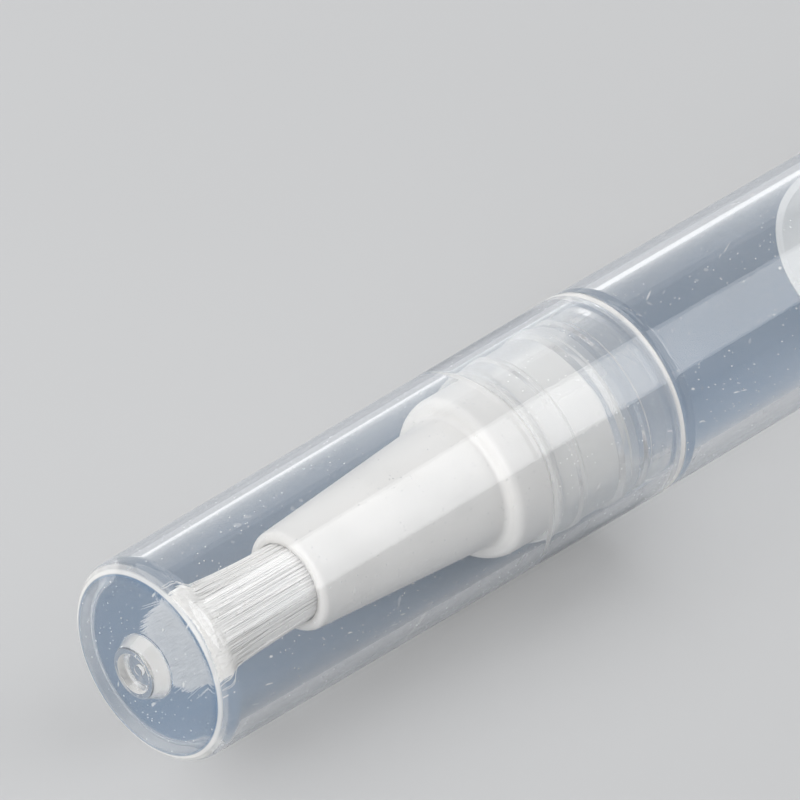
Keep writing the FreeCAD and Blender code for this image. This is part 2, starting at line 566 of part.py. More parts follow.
def build_lead_screw():
    """Two-flat rod with thread teeth on its two round sides and a snap head that turns in the piston."""
    body = new_body("lead_screw")
    core = "screw_core_diameter / 2"
    head = f"{SCREW_FRONT} + head_length"
    shank = f"{SCREW_FRONT} + thread_start - tooth_root_width"
    turned(body, [
        ("front_middle", SCREW_FRONT, "0"),
        ("front_bevel", SCREW_FRONT, "head_diameter / 2 - head_bevel"),
        ("head_front", f"{SCREW_FRONT} + head_bevel", "head_diameter / 2"),
        ("head_rear", head, "head_diameter / 2"),
        ("neck_front", head, "head_neck_diameter / 2"),
        ("neck_rear", f"{shank} - screw_bevel", "head_neck_diameter / 2"),
        ("core_front", shank, core),
        ("core_rear", f"{SCREW_REAR} - screw_bevel", core),
        ("end_bevel", SCREW_REAR, f"{core} - screw_bevel"),
        ("end_middle", SCREW_REAR, "0"),
    ])
    run = "(screw_length - thread_start - thread_end - screw_pitch / 2)"
    count = f"floor({run} / screw_pitch) + 1"
    span = "screw_crest_diameter"
    for name, side, place, tilt in (
        ("upper_tooth", "1", FIRST_TOOTH, HELIX_TILT),
        ("lower_tooth", "-1", f"{FIRST_TOOTH} + screw_pitch / 2", f"-{HELIX_TILT}"),
    ):
        slope = "(tooth_root_width - tooth_crest_width) / (screw_crest_diameter - screw_core_diameter)"
        tip = "(screw_crest_diameter - screw_core_diameter / 2)"
        foot = "screw_core_diameter / 2 - (screw_crest_diameter - screw_core_diameter) / 2"
        feature = spiral_tooth(
            body, name, "XZ_Plane", side, place,
            f"tooth_root_width - {slope} * (screw_crest_diameter - screw_core_diameter) * 2",
            f"tooth_root_width + {slope} * (screw_crest_diameter - screw_core_diameter)",
            foot, tip, span, tilt,
        )
        row = body.newObject("PartDesign::LinearPattern", f"{name}_row")
        row.Originals = [feature]
        row.Direction = (origin_feature(body, "X_Axis"), [""])
        row.setExpression("Length", bound(f"({count} - 1) * screw_pitch"))
        row.setExpression("Occurrences", bound(count))
        body.Tip = row
        doc.recompute()
    # Turn the crests down to their round, then cut the two flats along the whole rod.
    crest = outline(new_sketch(body, "crest_section", "XZ_Plane"), [
        ("front_inner", SCREW_FRONT, "screw_crest_diameter / 2"),
        ("front_outer", SCREW_FRONT, "screw_crest_diameter"),
        ("rear_outer", SCREW_REAR, "screw_crest_diameter"),
        ("rear_inner", SCREW_REAR, "screw_crest_diameter / 2"),
    ])
    groove = body.newObject("PartDesign::Groove", "crest_turning")
    groove.Profile = crest
    groove.ReferenceAxis = (crest, ["H_Axis"])
    groove.Angle = 360
    doc.recompute()
    flat = outline(new_sketch(body, "flat_section", "XY_Plane"), [
        ("front_inner", shank, "screw_flats / 2"),
        ("front_outer", shank, "screw_crest_diameter"),
        ("rear_outer", f"{SCREW_REAR} + screw_bevel", "screw_crest_diameter"),
        ("rear_inner", f"{SCREW_REAR} + screw_bevel", "screw_flats / 2"),
    ])
    cut = pocket(body, "flat", flat, "screw_crest_diameter * 2", both_ways=True)
    pair = body.newObject("PartDesign::PolarPattern", "flats")
    pair.Originals = [cut]
    pair.Axis = (origin_feature(body, "X_Axis"), [""])
    pair.Angle = 360
    pair.Occurrences = 2
    body.Tip = pair
    doc.recompute()
    return body


def outside_keys(body, place, length):
    """Keys on a fixed ring that stand in the barrel's grooves."""
    foot = f"{REAR_BORE} - press_gap - key_groove_depth"
    top = f"{REAR_BORE} - press_gap * 2 + key_groove_depth"
    half = "(key_groove_width / 2 - press_gap)"
    sketch = outline(new_sketch(body, f"{body.Label}_key_section", "YZ_Plane", place), [
        ("foot_low", foot, f"-{half}"),
        ("top_low", top, f"-{half}"),
        ("top_high", top, half),
        ("foot_high", foot, half),
    ])
    key = pad(body, f"{body.Label}_key", sketch, length)
    round_pattern(body, f"{body.Label}_keys", key, "key_count")


def build_screw_nut():
    """Fixed nut: rim, web and hub, with four lugs in the bore that make one turn of the thread."""
    body = new_body("screw_nut")
    rim = f"{REAR_BORE} - press_gap"
    bore = "(screw_crest_diameter / 2 + lug_gap)"
    turned(body, [
        ("bore_front", NUT_FRONT, bore),
        ("rim_front", NUT_FRONT, rim),
        ("rim_rear", NUT_REAR, rim),
        ("rim_inner", NUT_REAR, f"{rim} - nut_rim_wall"),
        ("web_outer", f"{NUT_FRONT} + nut_web", f"{rim} - nut_rim_wall"),
        ("web_inner", f"{NUT_FRONT} + nut_web", f"{bore} + nut_hub_wall"),
        ("hub_rear", NUT_REAR, f"{bore} + nut_hub_wall"),
        ("bore_rear", NUT_REAR, bore),
    ])
    outside_keys(body, NUT_FRONT, "nut_length")
    # Each lug lies where the gap of the screw's thread passes that side of the bore.
    foot = f"{bore} + lug_gap"
    tip = "screw_core_diameter / 2 + lug_gap"
    for name, role, side, quarter, tilt in (
        ("left_lug", "XY_Plane", "1", "1", HELIX_TILT),
        ("upper_lug", "XZ_Plane", "1", "2", HELIX_TILT),
        ("right_lug", "XY_Plane", "-1", "3", f"-{HELIX_TILT}"),
        ("lower_lug", "XZ_Plane", "-1", "4", f"-{HELIX_TILT}"),
    ):
        start = f"({FIRST_TOOTH} + screw_pitch * {quarter} / 4)"
        turns = f"ceil(({NUT_FRONT} + lug_margin - {start}) / screw_pitch)"
        spiral_tooth(body, name, role, side, f"{start} + screw_pitch * {turns}",
                     "lug_tip_width", "lug_foot_width", foot, tip, "lug_span", tilt)
    return body


def build_ratchet_ring():
    """Fixed ring with saw teeth inside, which let the knob turn one way only."""
    body = new_body("ratchet_ring")
    rim = f"{REAR_BORE} - press_gap"
    turned(body, [
        ("front_inner", NUT_REAR, RATCHET_TIP),
        ("front_outer", NUT_REAR, rim),
        ("rear_outer", RATCHET_REAR, rim),
        ("rear_inner", RATCHET_REAR, RATCHET_TIP),
    ])
    outside_keys(body, NUT_REAR, "ratchet_length")
    steep = f"(atan2({PAWL_REACH}; {CLICK_RADIUS}) + ratchet_lead * 1 deg)"
    foot = f"({steep} - 360 deg / ratchet_teeth)"
    inner = f"({RATCHET_TIP} - ratchet_tooth_height)"
    notch = outline(new_sketch(body, "notch_section", "YZ_Plane", NUT_REAR), [
        ("steep_inner", f"{inner} * cos({steep})", f"{inner} * sin({steep})"),
        ("root", f"{RATCHET_ROOT} * cos({steep})", f"{RATCHET_ROOT} * sin({steep})"),
        ("ramp_end", f"{RATCHET_TIP} * cos({foot})", f"{RATCHET_TIP} * sin({foot})"),
    ])
    cut = pocket(body, "notch", notch, "ratchet_length")
    round_pattern(body, "notches", cut, "ratchet_teeth")
    return body


def build_click_ring():
    """Springy ring on the drive sleeve: two straight pawls trail behind it and click over the saw teeth."""
    body = new_body("click_ring")
    arm_inner = f"({CLICK_BORE} + press_gap)"
    front = f"({SLEEVE_FRONT} + (ratchet_length - click_length) / 2)"
    turned(body, [
        ("front_inner", front, CLICK_BORE),
        ("front_outer", front, CLICK_RADIUS),
        ("rear_outer", f"{front} + click_length", CLICK_RADIUS),
        ("rear_inner", f"{front} + click_length", CLICK_BORE),
    ])
    arm = outline(new_sketch(body, "pawl_section", "YZ_Plane", front), [
        ("root_inner", arm_inner, "-click_arm_root"),
        ("root_outer", CLICK_RADIUS, "-click_arm_root"),
        ("tip", CLICK_RADIUS, PAWL_REACH),
        ("tip_inner", arm_inner, f"{PAWL_REACH} * {arm_inner} / {CLICK_RADIUS}"),
    ])
    feature = pad(body, "pawl", arm, "click_length")
    round_pattern(body, "pawls", feature, "click_arms")
    return body


def build_drive_sleeve():
    """Sleeve fixed in the knob; its two-flat bore turns the screw while the screw slides through."""
    body = new_body("drive_sleeve")
    step = SPIGOT_FRONT
    turned(body, [
        ("front_middle", SLEEVE_FRONT, "0"),
        ("front_outer", SLEEVE_FRONT, SLEEVE_FRONT_RADIUS),
        ("step_inner", step, SLEEVE_FRONT_RADIUS),
        ("step_outer", step, SLEEVE_RADIUS),
        ("rear_outer", SLEEVE_REAR, SLEEVE_RADIUS),
        ("rear_middle", SLEEVE_REAR, "0"),
    ])
    hole = two_flat_hole(new_sketch(body, "bore_section", "YZ_Plane", SLEEVE_FRONT),
                         SLEEVE_BORE, "screw_flats / 2 + sleeve_play")
    pocket(body, "bore", hole, "sleeve_length")
    key_front = f"{SLEEVE_REAR} - sleeve_key_length"
    foot = f"{SLEEVE_RADIUS} - sleeve_wall / 2"
    top = f"{SLEEVE_RADIUS} + sleeve_key_height"
    key = outline(new_sketch(body, "sleeve_key_section", "YZ_Plane", key_front), [
        ("foot_low", foot, "-sleeve_key_width / 2"),
        ("top_low", top, "-sleeve_key_width / 2"),
        ("top_high", top, "sleeve_key_width / 2"),
        ("foot_high", foot, "sleeve_key_width / 2"),
    ])
    feature = pad(body, "sleeve_key", key, "sleeve_key_length")
    round_pattern(body, "sleeve_keys_round", feature, "sleeve_keys")
    return body


def build_twist_knob():
    """Hollow tail that the user turns: a spigot with a snap bead runs in the barrel's rear bore."""
    body = new_body("twist_knob")
    spigot = f"({REAR_BORE} - turn_gap)"
    web_rear = f"({SLEEVE_REAR} + knob_web)"
    bead_place = "(barrel_length - spigot_bead_offset)"
    turned(body, [
        ("spigot_inner", SPIGOT_FRONT, KNOB_BORE),
        ("spigot_front", SPIGOT_FRONT, spigot),
        *bead("snap", bead_place, "spigot_bead_width", "spigot_bead_height", spigot),
        ("spigot_root", KNOB_FRONT, spigot),
        ("knob_front", KNOB_FRONT, f"{SIDE} - knob_edge"),
        ("front_bevel", f"{KNOB_FRONT} + knob_edge", SIDE),
        ("rear_bevel", f"{KNOB_REAR} - knob_edge", SIDE),
        ("knob_rear", KNOB_REAR, f"{SIDE} - knob_edge"),
        ("plug_mouth", KNOB_REAR, PLUG_BORE),
        ("web_outer", web_rear, PLUG_BORE),
        ("web_inner", web_rear, KNOB_BORE),
    ])
    foot = f"{SLEEVE_RADIUS} - sleeve_key_height"
    top = f"{SLEEVE_RADIUS} + sleeve_key_height + press_gap"
    half = "(sleeve_key_width / 2 + press_gap)"
    slot = outline(new_sketch(body, "key_slot_section", "YZ_Plane", SPIGOT_FRONT), [
        ("foot_low", foot, f"-{half}"),
        ("top_low", top, f"-{half}"),
        ("top_high", top, half),
        ("foot_high", foot, half),
    ])
    cut = pocket(body, "key_slot", slot, f"{SLEEVE_REAR} - {SPIGOT_FRONT}")
    round_pattern(body, "key_slots", cut, "sleeve_keys")
    flute = new_sketch(body, "flute_section", "YZ_Plane", f"{KNOB_FRONT} + flute_front")
    index = flute.addGeometry(Part.Circle(FreeCAD.Vector(1, 0, 0), FreeCAD.Vector(0, 0, 1), 1.0))
    flute.addConstraint(Sketcher.Constraint("PointOnObject", index, 3, -1))
    for kind, name, text in (
        ("Radius", "flute_radius", "flute_diameter / 2"),
        ("DistanceX", "flute_middle", f"{SIDE} - flute_depth + flute_diameter / 2"),
    ):
        if kind == "Radius":
            size = flute.addConstraint(Sketcher.Constraint(kind, index, 1.0))
        else:
            size = flute.addConstraint(Sketcher.Constraint(kind, -1, 1, index, 3, 1.0))
        flute.renameConstraint(size, name)
        flute.setExpression(f".Constraints.{name}", bound(text))
    cut = pocket(body, "flute", flute, "flute_length")
    round_pattern(body, "flutes", cut, "flute_count")
    return body


def build_tail_plug():
    """End plug: a flat disc on the knob's rear with a hollow stem pressed into the knob."""
    body = new_body("tail_plug")
    stem = f"({PLUG_BORE} - press_gap)"
    turned(body, [
        ("stem_front", f"{KNOB_REAR} - tail_plug_length", stem),
        ("stem_rear", KNOB_REAR, stem),
        ("disc_front", KNOB_REAR, f"{SIDE} - tail_disc_inset"),
        ("disc_bevel", f"{TAIL} - tail_edge", f"{SIDE} - tail_disc_inset"),
        ("disc_rear", TAIL, f"{SIDE} - tail_disc_inset - tail_edge"),
        ("disc_middle", TAIL, "0"),
        ("floor_middle", KNOB_REAR, "0"),
        ("floor_edge", KNOB_REAR, f"{stem} - tail_plug_wall"),
        ("stem_inner", f"{KNOB_REAR} - tail_plug_length", f"{stem} - tail_plug_wall"),
    ])
    return body


BUILDERS = (
    build_cap, build_barrel, build_brush_holder, build_brush_tuft, build_brush_seat, build_feed_plug,
    build_piston, build_lead_screw, build_screw_nut, build_ratchet_ring, build_click_ring,
    build_drive_sleeve, build_twist_knob, build_tail_plug,
)


def main():
    """Build every piece, check it, and write one STEP file for each."""
    bodies = [build() for build in BUILDERS]
    doc.recompute()
    for item in doc.Objects:
        if "Invalid" in item.State or "Error" in item.State:
            raise RuntimeError(f"{item.Label} did not build: {item.State}")
    os.makedirs("parts", exist_ok=True)
    for body in bodies:
        shape = body.Shape
        if shape.isNull() or not shape.isValid() or len(shape.Solids) != 1:
            raise RuntimeError(f"{body.Label} is not one valid solid")
        shape.exportStep(f"parts/{body.Label}.step")
        box = shape.BoundBox
        print(f"{body.Label}: {shape.Volume:.1f} mm3, x {box.XMin:.2f} to {box.XMax:.2f}, "
              f"z {box.ZMin:.2f} to {box.ZMax:.2f}")


main()
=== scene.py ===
import math

import bpy
import numpy as np
from bpy.props import FloatProperty, FloatVectorProperty, IntProperty, PointerProperty
from mathutils import Matrix, Vector


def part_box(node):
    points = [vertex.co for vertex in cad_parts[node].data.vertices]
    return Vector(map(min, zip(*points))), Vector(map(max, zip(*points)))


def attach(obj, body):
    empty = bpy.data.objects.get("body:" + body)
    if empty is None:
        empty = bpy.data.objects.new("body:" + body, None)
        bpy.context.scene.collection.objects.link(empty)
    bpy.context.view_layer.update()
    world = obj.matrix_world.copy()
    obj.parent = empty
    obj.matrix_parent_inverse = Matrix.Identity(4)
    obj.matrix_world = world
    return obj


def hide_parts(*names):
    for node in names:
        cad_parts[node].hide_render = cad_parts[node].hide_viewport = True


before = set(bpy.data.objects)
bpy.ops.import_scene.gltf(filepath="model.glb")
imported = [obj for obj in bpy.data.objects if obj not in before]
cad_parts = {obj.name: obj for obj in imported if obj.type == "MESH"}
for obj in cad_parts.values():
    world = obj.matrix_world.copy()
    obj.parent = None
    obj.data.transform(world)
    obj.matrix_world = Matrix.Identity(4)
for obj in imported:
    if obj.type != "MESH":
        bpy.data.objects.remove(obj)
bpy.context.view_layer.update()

bl_info = {
    "name": "Nail oil pen",
    "version": (1, 0, 0),
    "blender": (4, 5, 0),
    "location": "View3D > Sidebar > Nail pen",
    "description": "Dresses the nail oil pen: clear shells, white nozzle, bristles and mechanism",
    "category": "Object",
}

MM = 0.001


def extent(node):
    """A CAD node's least and greatest distance along the pen, and its radius."""
    low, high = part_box(node)
    return low.x, high.x, (high.y - low.y) / 2


CAP_FRONT, CAP_MOUTH, CAP_RADIUS = extent("cap")
NECK_FRONT, BARREL_REAR, BARREL_RADIUS = extent("barrel")
NOZZLE_FRONT, NOZZLE_REAR, FLANGE_RADIUS = extent("brush_holder")
TUFT_TIP, _, TUFT_RADIUS = extent("brush_tuft")
SPIGOT_FRONT, KNOB_REAR, KNOB_RADIUS = extent("twist_knob")
STEM_FRONT, TAIL_REAR, DISC_RADIUS = extent("tail_plug")
AXIS_HEIGHT = (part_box("barrel")[0].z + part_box("barrel")[1].z) / 2


def length(name, millimetres, text):
    """A length property, written in millimetres."""
    return FloatProperty(
        name=name, description=text, default=millimetres * MM, unit="LENGTH", precision=5)


def share(name, value, text):
    """A property between nothing and the whole."""
    return FloatProperty(
        name=name, description=text, default=value, min=0.0, max=1.0, subtype="FACTOR")


def colour(name, value, text):
    """A colour property in linear light."""
    return FloatVectorProperty(
        name=name, description=text, default=value, size=3, min=0.0, max=1.0, subtype="COLOR")


def count(name, value, text):
    """A whole-number property."""
    return IntProperty(name=name, description=text, default=value, min=1)


def level(name, value, text):
    """A plain number, such as a lamp's brightness."""
    return FloatProperty(name=name, description=text, default=value, min=0.0)


def bearing(name, degrees, text):
    """An angle property, written in degrees."""
    return FloatProperty(name=name, description=text, default=math.radians(degrees), subtype="ANGLE")


class CapSizes(bpy.types.PropertyGroup):
    """Sizes of the cap's shell."""

    wall: length("Wall", 0.70, "Wall at the mouth")
    end_wall: length("End wall", 0.80, "Wall at the closed end")
    end_thickness: length("End thickness", 1.00, "Flat wall that closes the cap")
    draft: length("Draft", 0.30, "How much slimmer the closed end is, on the radius")
    end_round: length("End round", 0.90, "Outer edge of the closed end")
    inner_round: length("Inner round", 0.60, "Inner edge of the closed end")
    boss_round: length("Boss round", 0.16, "Edges of the gate boss")
    socket: length("Socket", 9.75, "Straight socket that takes the neck")
    socket_step: length("Socket step", 0.18, "Step from the socket to the tapered cavity")
    boss_height: length("Boss height", 0.95, "Gate boss in the middle of the closed end")
    boss_base: length("Boss base", 1.85, "Radius of the gate boss at its foot")
    boss_top: length("Boss top", 1.45, "Radius of the gate boss at its top")
    crater_rim: length("Crater rim", 1.15, "Radius of the hollow in the gate boss")
    crater_floor: length("Crater floor", 0.90, "Radius of that hollow's floor")
    crater_depth: length("Crater depth", 0.55, "Depth of that hollow")
    nub: length("Gate nub", 0.30, "Radius of the gate vestige")
    nub_height: length("Gate nub height", 0.22, "Height of the gate vestige")


class BarrelSizes(bpy.types.PropertyGroup):
    """Sizes of the barrel's shell."""

    wall: length("Wall", 1.00, "Wall along the oil chamber")
    neck_length: length("Neck", 8.90, "Neck in front of the shoulder")
    neck_radius: length("Neck radius", 5.04, "Outside of the neck")
    neck_wall: length("Neck wall", 0.85, "Wall of the neck")
    neck_round: length("Neck round", 0.25, "Outer edge at the neck's front")
    edge: length("Edge", 0.18, "Rounding of the outer edges")
    ridge: length("Guide ridge", 7.20, "Guide ridge in front of the shoulder")
    bead: length("Snap bead", 4.00, "Snap bead in front of the shoulder")
    stop_ring: length("Stop ring", 2.30, "Ring behind the snap bead, in front of the shoulder")
    bead_height: length("Bead height", 0.18, "Height of the snap bead")
    ring_height: length("Ring height", 0.11, "Height of the guide ridge and the stop ring")
    bead_width: length("Bead width", 1.00, "Snap bead at its foot")
    ring_width: length("Ring width", 0.60, "Guide ridge and stop ring at the foot")
    rear_bore: length("Rear bore", 15.0, "Length of the wider bore at the rear")
    rear_step: length("Rear step", 0.20, "Step from the chamber to the wider bore")
    bore_cone: length("Bore cone", 1.20, "Cone from the neck's bore to the chamber")


class NozzleSizes(bpy.types.PropertyGroup):
    """Sizes of the white nozzle and its bristles."""

    front_radius: length("Front radius", 2.85, "Nozzle at its front")
    hole: length("Hole", 2.26, "Radius of the hole that the bristles stand in")
    cone_rear: length("Cone rear", 3.75, "Radius of the cone where it meets the flange")
    cone_length: length("Cone", 12.5, "Nozzle front to flange")
    flange_length: length("Flange", 2.70, "Length of the flange")
    front_round: length("Front round", 0.45, "Outer edge of the nozzle's front")
    flange_round: length("Flange round", 0.50, "Front edge of the flange")
    flange_rear: length("Flange rear round", 0.20, "Rear edge of the flange")
    plug_radius: length("Plug", 4.17, "Radius of the plug inside the neck")
    seat_bore: length("Seat bore", 2.83, "Radius of the bore behind the bristles")
    seat_depth: length("Seat depth", 3.40, "Depth of the hole in front of that bore")
    bristles: count("Bristles", 4300, "How many bristles stand in the nozzle")
    bristle: length("Bristle", 0.056, "Radius of one bristle")
    strays: count("Strays", 46, "How many bristles stand out from the bundle")
    stray_reach: length("Stray reach", 0.75, "How far the strays stand out at their ends")
    root_radius: length("Root radius", 2.225, "Radius of the bundle where it leaves the nozzle")
    tip_radius: length("Tip radius", 2.44, "Radius of the bundle near its end")
    ragged: length("Ragged end", 1.70, "How unevenly the bristles end")


class KnobSizes(bpy.types.PropertyGroup):
    """Sizes of the twist knob and its end plug."""

    spigot_radius: length("Spigot", 5.075, "Radius of the spigot inside the barrel")
    spigot_round: length("Spigot round", 0.20, "Front edge of that spigot")
    front_gap: length("Front gap", 0.25, "Gap between the barrel and the knob")
    bead_offset: length("Snap bead", 2.80, "Snap bead in front of the barrel's rear end")
    bead_height: length("Bead height", 0.20, "Height of the snap bead")
    bead_width: length("Bead width", 1.20, "Snap bead at its foot")
    sleeve_bore: length("Sleeve bore", 3.54, "Radius of the bore round the drive sleeve")
    sleeve_rear: length("Sleeve rear", 13.8, "Length of that bore behind the spigot's front")
    tail_bore: length("Tail bore", 4.325, "Radius of the hollow tail")
    edge: length("Edge", 0.30, "Rounding of the outer edges")
    flutes: count("Flutes", 18, "Grip flutes round the knob")
    flute_depth: length("Flute depth", 0.25, "Depth of a flute")
    flute_front: length("Flute front", 4.00, "Front of the flutes behind the knob's front")
    flute_length: length("Flute length", 26.0, "Length of the flutes")
    flute_run: length("Flute run-out", 0.60, "Half the length over which a flute fades out")
    stem_radius: length("Plug stem", 4.305, "Radius of the end plug inside the knob")
    stem_wall: length("Stem wall", 0.90, "Wall of that stem")
    disc: length("Disc", 1.00, "Thickness of the end plug's disc")


class Finishes(bpy.types.PropertyGroup):
    """Colours and shares of the finishes."""

    haze: colour("Haze", (0.108, 0.200, 0.325), "Milky part of the clear plastic")
    # This pale colour also paints the sheen, the light piping and the highlights of the cap's rim and
    # boss.
    thick_haze_and_painted_light: colour("Thick haze", (0.88, 0.872, 0.855), "The same where the plastic is thick")
    tint: colour("Tint", (0.99, 0.991, 0.992), "What one face of the clear plastic lets through")
    haze_share: share("Haze share", 0.035, "How much of one face is milky, seen straight on")
    film_share: share("Film share", 0.60, "How much milkier the bore's face is")
    white: colour("White", (0.87, 0.85, 0.82), "White plastic of the nozzle")
    bristle: colour("Bristle", (0.95, 0.935, 0.91), "Nylon bristles")
    inner: colour("Inner", (0.80, 0.81, 0.81), "White plastic of the mechanism")
    soft: colour("Soft", (0.84, 0.85, 0.85), "Soft plastic of the piston")
    dust: colour("Dust", (0.97, 0.97, 0.965), "Dust specks on the clear plastic")


class StageSizes(bpy.types.PropertyGroup):
    """The floor, the light and the camera."""

    floor: colour("Floor", (0.55, 0.554, 0.56), "Floor and backdrop")
    floor_size: length("Floor size", 6000.0, "Side of the floor")
    backdrop: level("Backdrop", 1.1, "How bright the backdrop looks beyond the floor")
    sky: colour("Sky", (0.97, 0.985, 1.0), "Even light from all sides")
    sky_light: level("Sky light", 0.24, "Strength of the even light")
    key_light: level("Key light", 2.3, "Brightness of the soft lamp on the camera's right")
    top_light: level("Top light", 1.85, "Brightness of the soft lamp overhead")
    fill_light: level("Fill light", 4.9, "Brightness of the soft lamp in front")
    rim_light: level("Rim light", 0.6, "Brightness of the soft lamp behind")
    azimuth: bearing("Azimuth", -45.11, "Where the camera stands round the pen")
    elevation: bearing("Elevation", 35.35, "How high the camera looks from")
    distance: length("Distance", 500.0, "Camera to the middle of the cap's closed end")
    aim_right: length("Aim right", 13.03, "Camera's middle beside the cap's closed end")
    aim_up: length("Aim up", 13.67, "Camera's middle above the cap's closed end")
    lens: level("Lens", 437.8, "Focal length in millimetres on the camera's sensor")


GROUPS = (CapSizes, BarrelSizes, NozzleSizes, KnobSizes, Finishes, StageSizes)

# Turned surfaces
CORNER_STEPS = 7
ROUND_TURNS = 160
SUPPORT = 0.12 * MM
SIDE_SHARE = 0.49
STRAIGHT = 1e-4
NOTHING = 1e-9

# Roundings of moulded edges, from the crispest to the softest
CRISP = 0.06 * MM
SLIGHT = 0.08 * MM
SMALL = 0.10 * MM
EASED = 0.12 * MM
SOFT = 0.15 * MM
ROUND = 0.30 * MM

# Marks in the clear plastic: scales in waves per metre, and where soft steps start and end
FLOW_SCALE = 520.0
FLOW_STRETCH = (0.12, 1.0, 1.0)
DUST_SCALE = 2200.0
DUST_SIZE = (0.06, 0.115)
DUST_CHANCE = (0.25, 0.30)
DUST_PATCH_SCALE = 140.0
DUST_PATCH = (0.34, 0.54)
HAIRLINE_SCALE = 2600.0
HAIRLINE_TURN = (0.5, 0.9, 0.7)
HAIRLINE_STRETCH = (0.05, 1.0, 1.0)
HAIRLINE = (0.80, 0.86)
HAIRLINE_SHARE = 0.25

# Shares of haze in the clear plastic, with its painted sheen and painted light piping
FLOW_HAZE = 0.05
EDGE_HAZE = 0.40
EDGE_POWER = 3.0
# Painted sheen: how much white milk whitens the wall where it is seen along its length.
PAINTED_EDGE_SHEEN = 0.75
# Painted light piping: faces seen from within the wall at a slant are painted white, standing for
# light carried inside the wall.
PAINTED_PIPING_FACING = (0.28, 0.50)
PAINTED_PIPING_SHARE = 0.55
# A band's milk grows where it is seen at a slant; at the cap's rim and boss this is part of their
# painted highlight.
THICK_AND_HIGHLIGHT_HAZE = (0.3, 0.9)
MARK_HAZE = 0.75
MOST_HAZE = 0.96
LIGHT_PASS = 0.95
FULL_TONE = 4.0
MILK_GLOSS = {"Roughness": 0.34, "IOR": 1.46, "Specular IOR Level": 0.25}
GLASS_ROUGHNESS = 0.015
GLASS_FLOW = 0.04
GLASS_IOR = 1.47

# Thick places of the clear plastic, the cap's rim and boss also with a painted highlight: how milky
# they are, and how softly they end
# The cap's end rim band is thick plastic and also a painted highlight on the end rounding.
CAP_RIM_AND_HIGHLIGHT = (0.46, 0.07 * MM)
# The gate boss band is thick plastic and also a painted highlight on the boss.
CAP_BOSS_AND_HIGHLIGHT = (0.16, 0.05 * MM)
CAP_LIP = (0.62, 0.12 * MM)
PLUGGED_NECK = (0.56, 0.15 * MM)
OPEN_NECK = (0.32, 0.15 * MM)
BARREL_END = (0.40, 0.15 * MM)
KNOB_END = (0.45, 0.15 * MM)
PLUG_DISC = (0.35, 0.15 * MM)
END_BAND = 0.3 * MM

# White plastic and nylon
CLOUD_SCALE = 260.0
CLOUD = (0.35, 0.75)
CLOUD_DULL = 0.93
SKIN_SCALE = 5200.0
SKIN_STRENGTH = 0.06
SKIN_DEPTH = 0.05 * MM
WHITE_ROUGHNESS = 0.34
WHITE_CLOUD = 0.12
WHITE_IOR = 1.49
NYLON_DULL = 0.95
NYLON_ROUGHNESS = 0.30
NYLON_SHADE = 0.1
NYLON_IOR = 1.53

# Lamps: place in metres, width and height
LAMPS = {
    "key": ((0.317, -0.305, 0.389), (0.38, 0.42)),
    "top": ((-0.12, 0.26, 0.44), (0.60, 0.46)),
    "fill": ((-0.55, -0.12, 0.22), (0.36, 0.36)),
    "rim": ((0.32, 0.40, 0.20), (0.70, 0.50)),
}
LAMP_AIM = Vector((-0.03, 0.0, AXIS_HEIGHT))
FLOOR_GRAIN_SCALE = 18.0
FLOOR_GRAIN = (0.3, 0.7)
FLOOR_PALER = 1.02
SENSOR = 36.0
CLIP = (0.01, 20.0)
CLEAR_LAYERS = 32


def rounded(corners):
    """A half section from corners (along, radius, rounding): each corner becomes an arc that
    touches both of its sides, with its centre on the line that halves the corner's angle."""
    corner = np.array(corners, float)
    places, radii = corner[:, :2], corner[:, 2]
    line = [places[:1]]
    for i in range(1, len(places) - 1):
        back, ahead = places[i - 1] - places[i], places[i + 1] - places[i]
        reach = min(np.hypot(*back), np.hypot(*ahead)) * SIDE_SHARE
        back, ahead = back / np.hypot(*back), ahead / np.hypot(*ahead)
        half = math.acos(np.clip(back @ ahead, -1, 1)) / 2
        touch = min(radii[i] / math.tan(half), reach) if half < math.pi / 2 - STRAIGHT else 0.0
        if touch < NOTHING:
            line.append(places[i:i + 1])
            continue
        middle = back + ahead
        centre = places[i] + middle / np.hypot(*middle) * (touch / math.cos(half))
        first, last = places[i] + back * touch - centre, places[i] + ahead * touch - centre
        start = math.atan2(first[1], first[0])
        sweep = (math.atan2(last[1], last[0]) - start + math.pi) % (2 * math.pi) - math.pi
        turn = start + sweep * np.linspace(0, 1, CORNER_STEPS)
        line.append(centre + np.hypot(*first) * np.stack([np.cos(turn), np.sin(turn)], 1))
    line.append(places[-1:])
    return supported(np.concatenate(line))


def supported(line):
    """Two more points near the ends of every long straight stretch, so smooth shading bends only
    on the arcs."""
    step = np.diff(line, axis=0)
    size = np.hypot(step[:, 0], step[:, 1])
    long = np.flatnonzero(size > 4 * SUPPORT)
    unit = step[long] / size[long, None]
    extra = np.concatenate([line[long] + unit * SUPPORT, line[long + 1] - unit * SUPPORT])
    return np.insert(line, np.concatenate([long + 1, long + 1]), extra, axis=0)


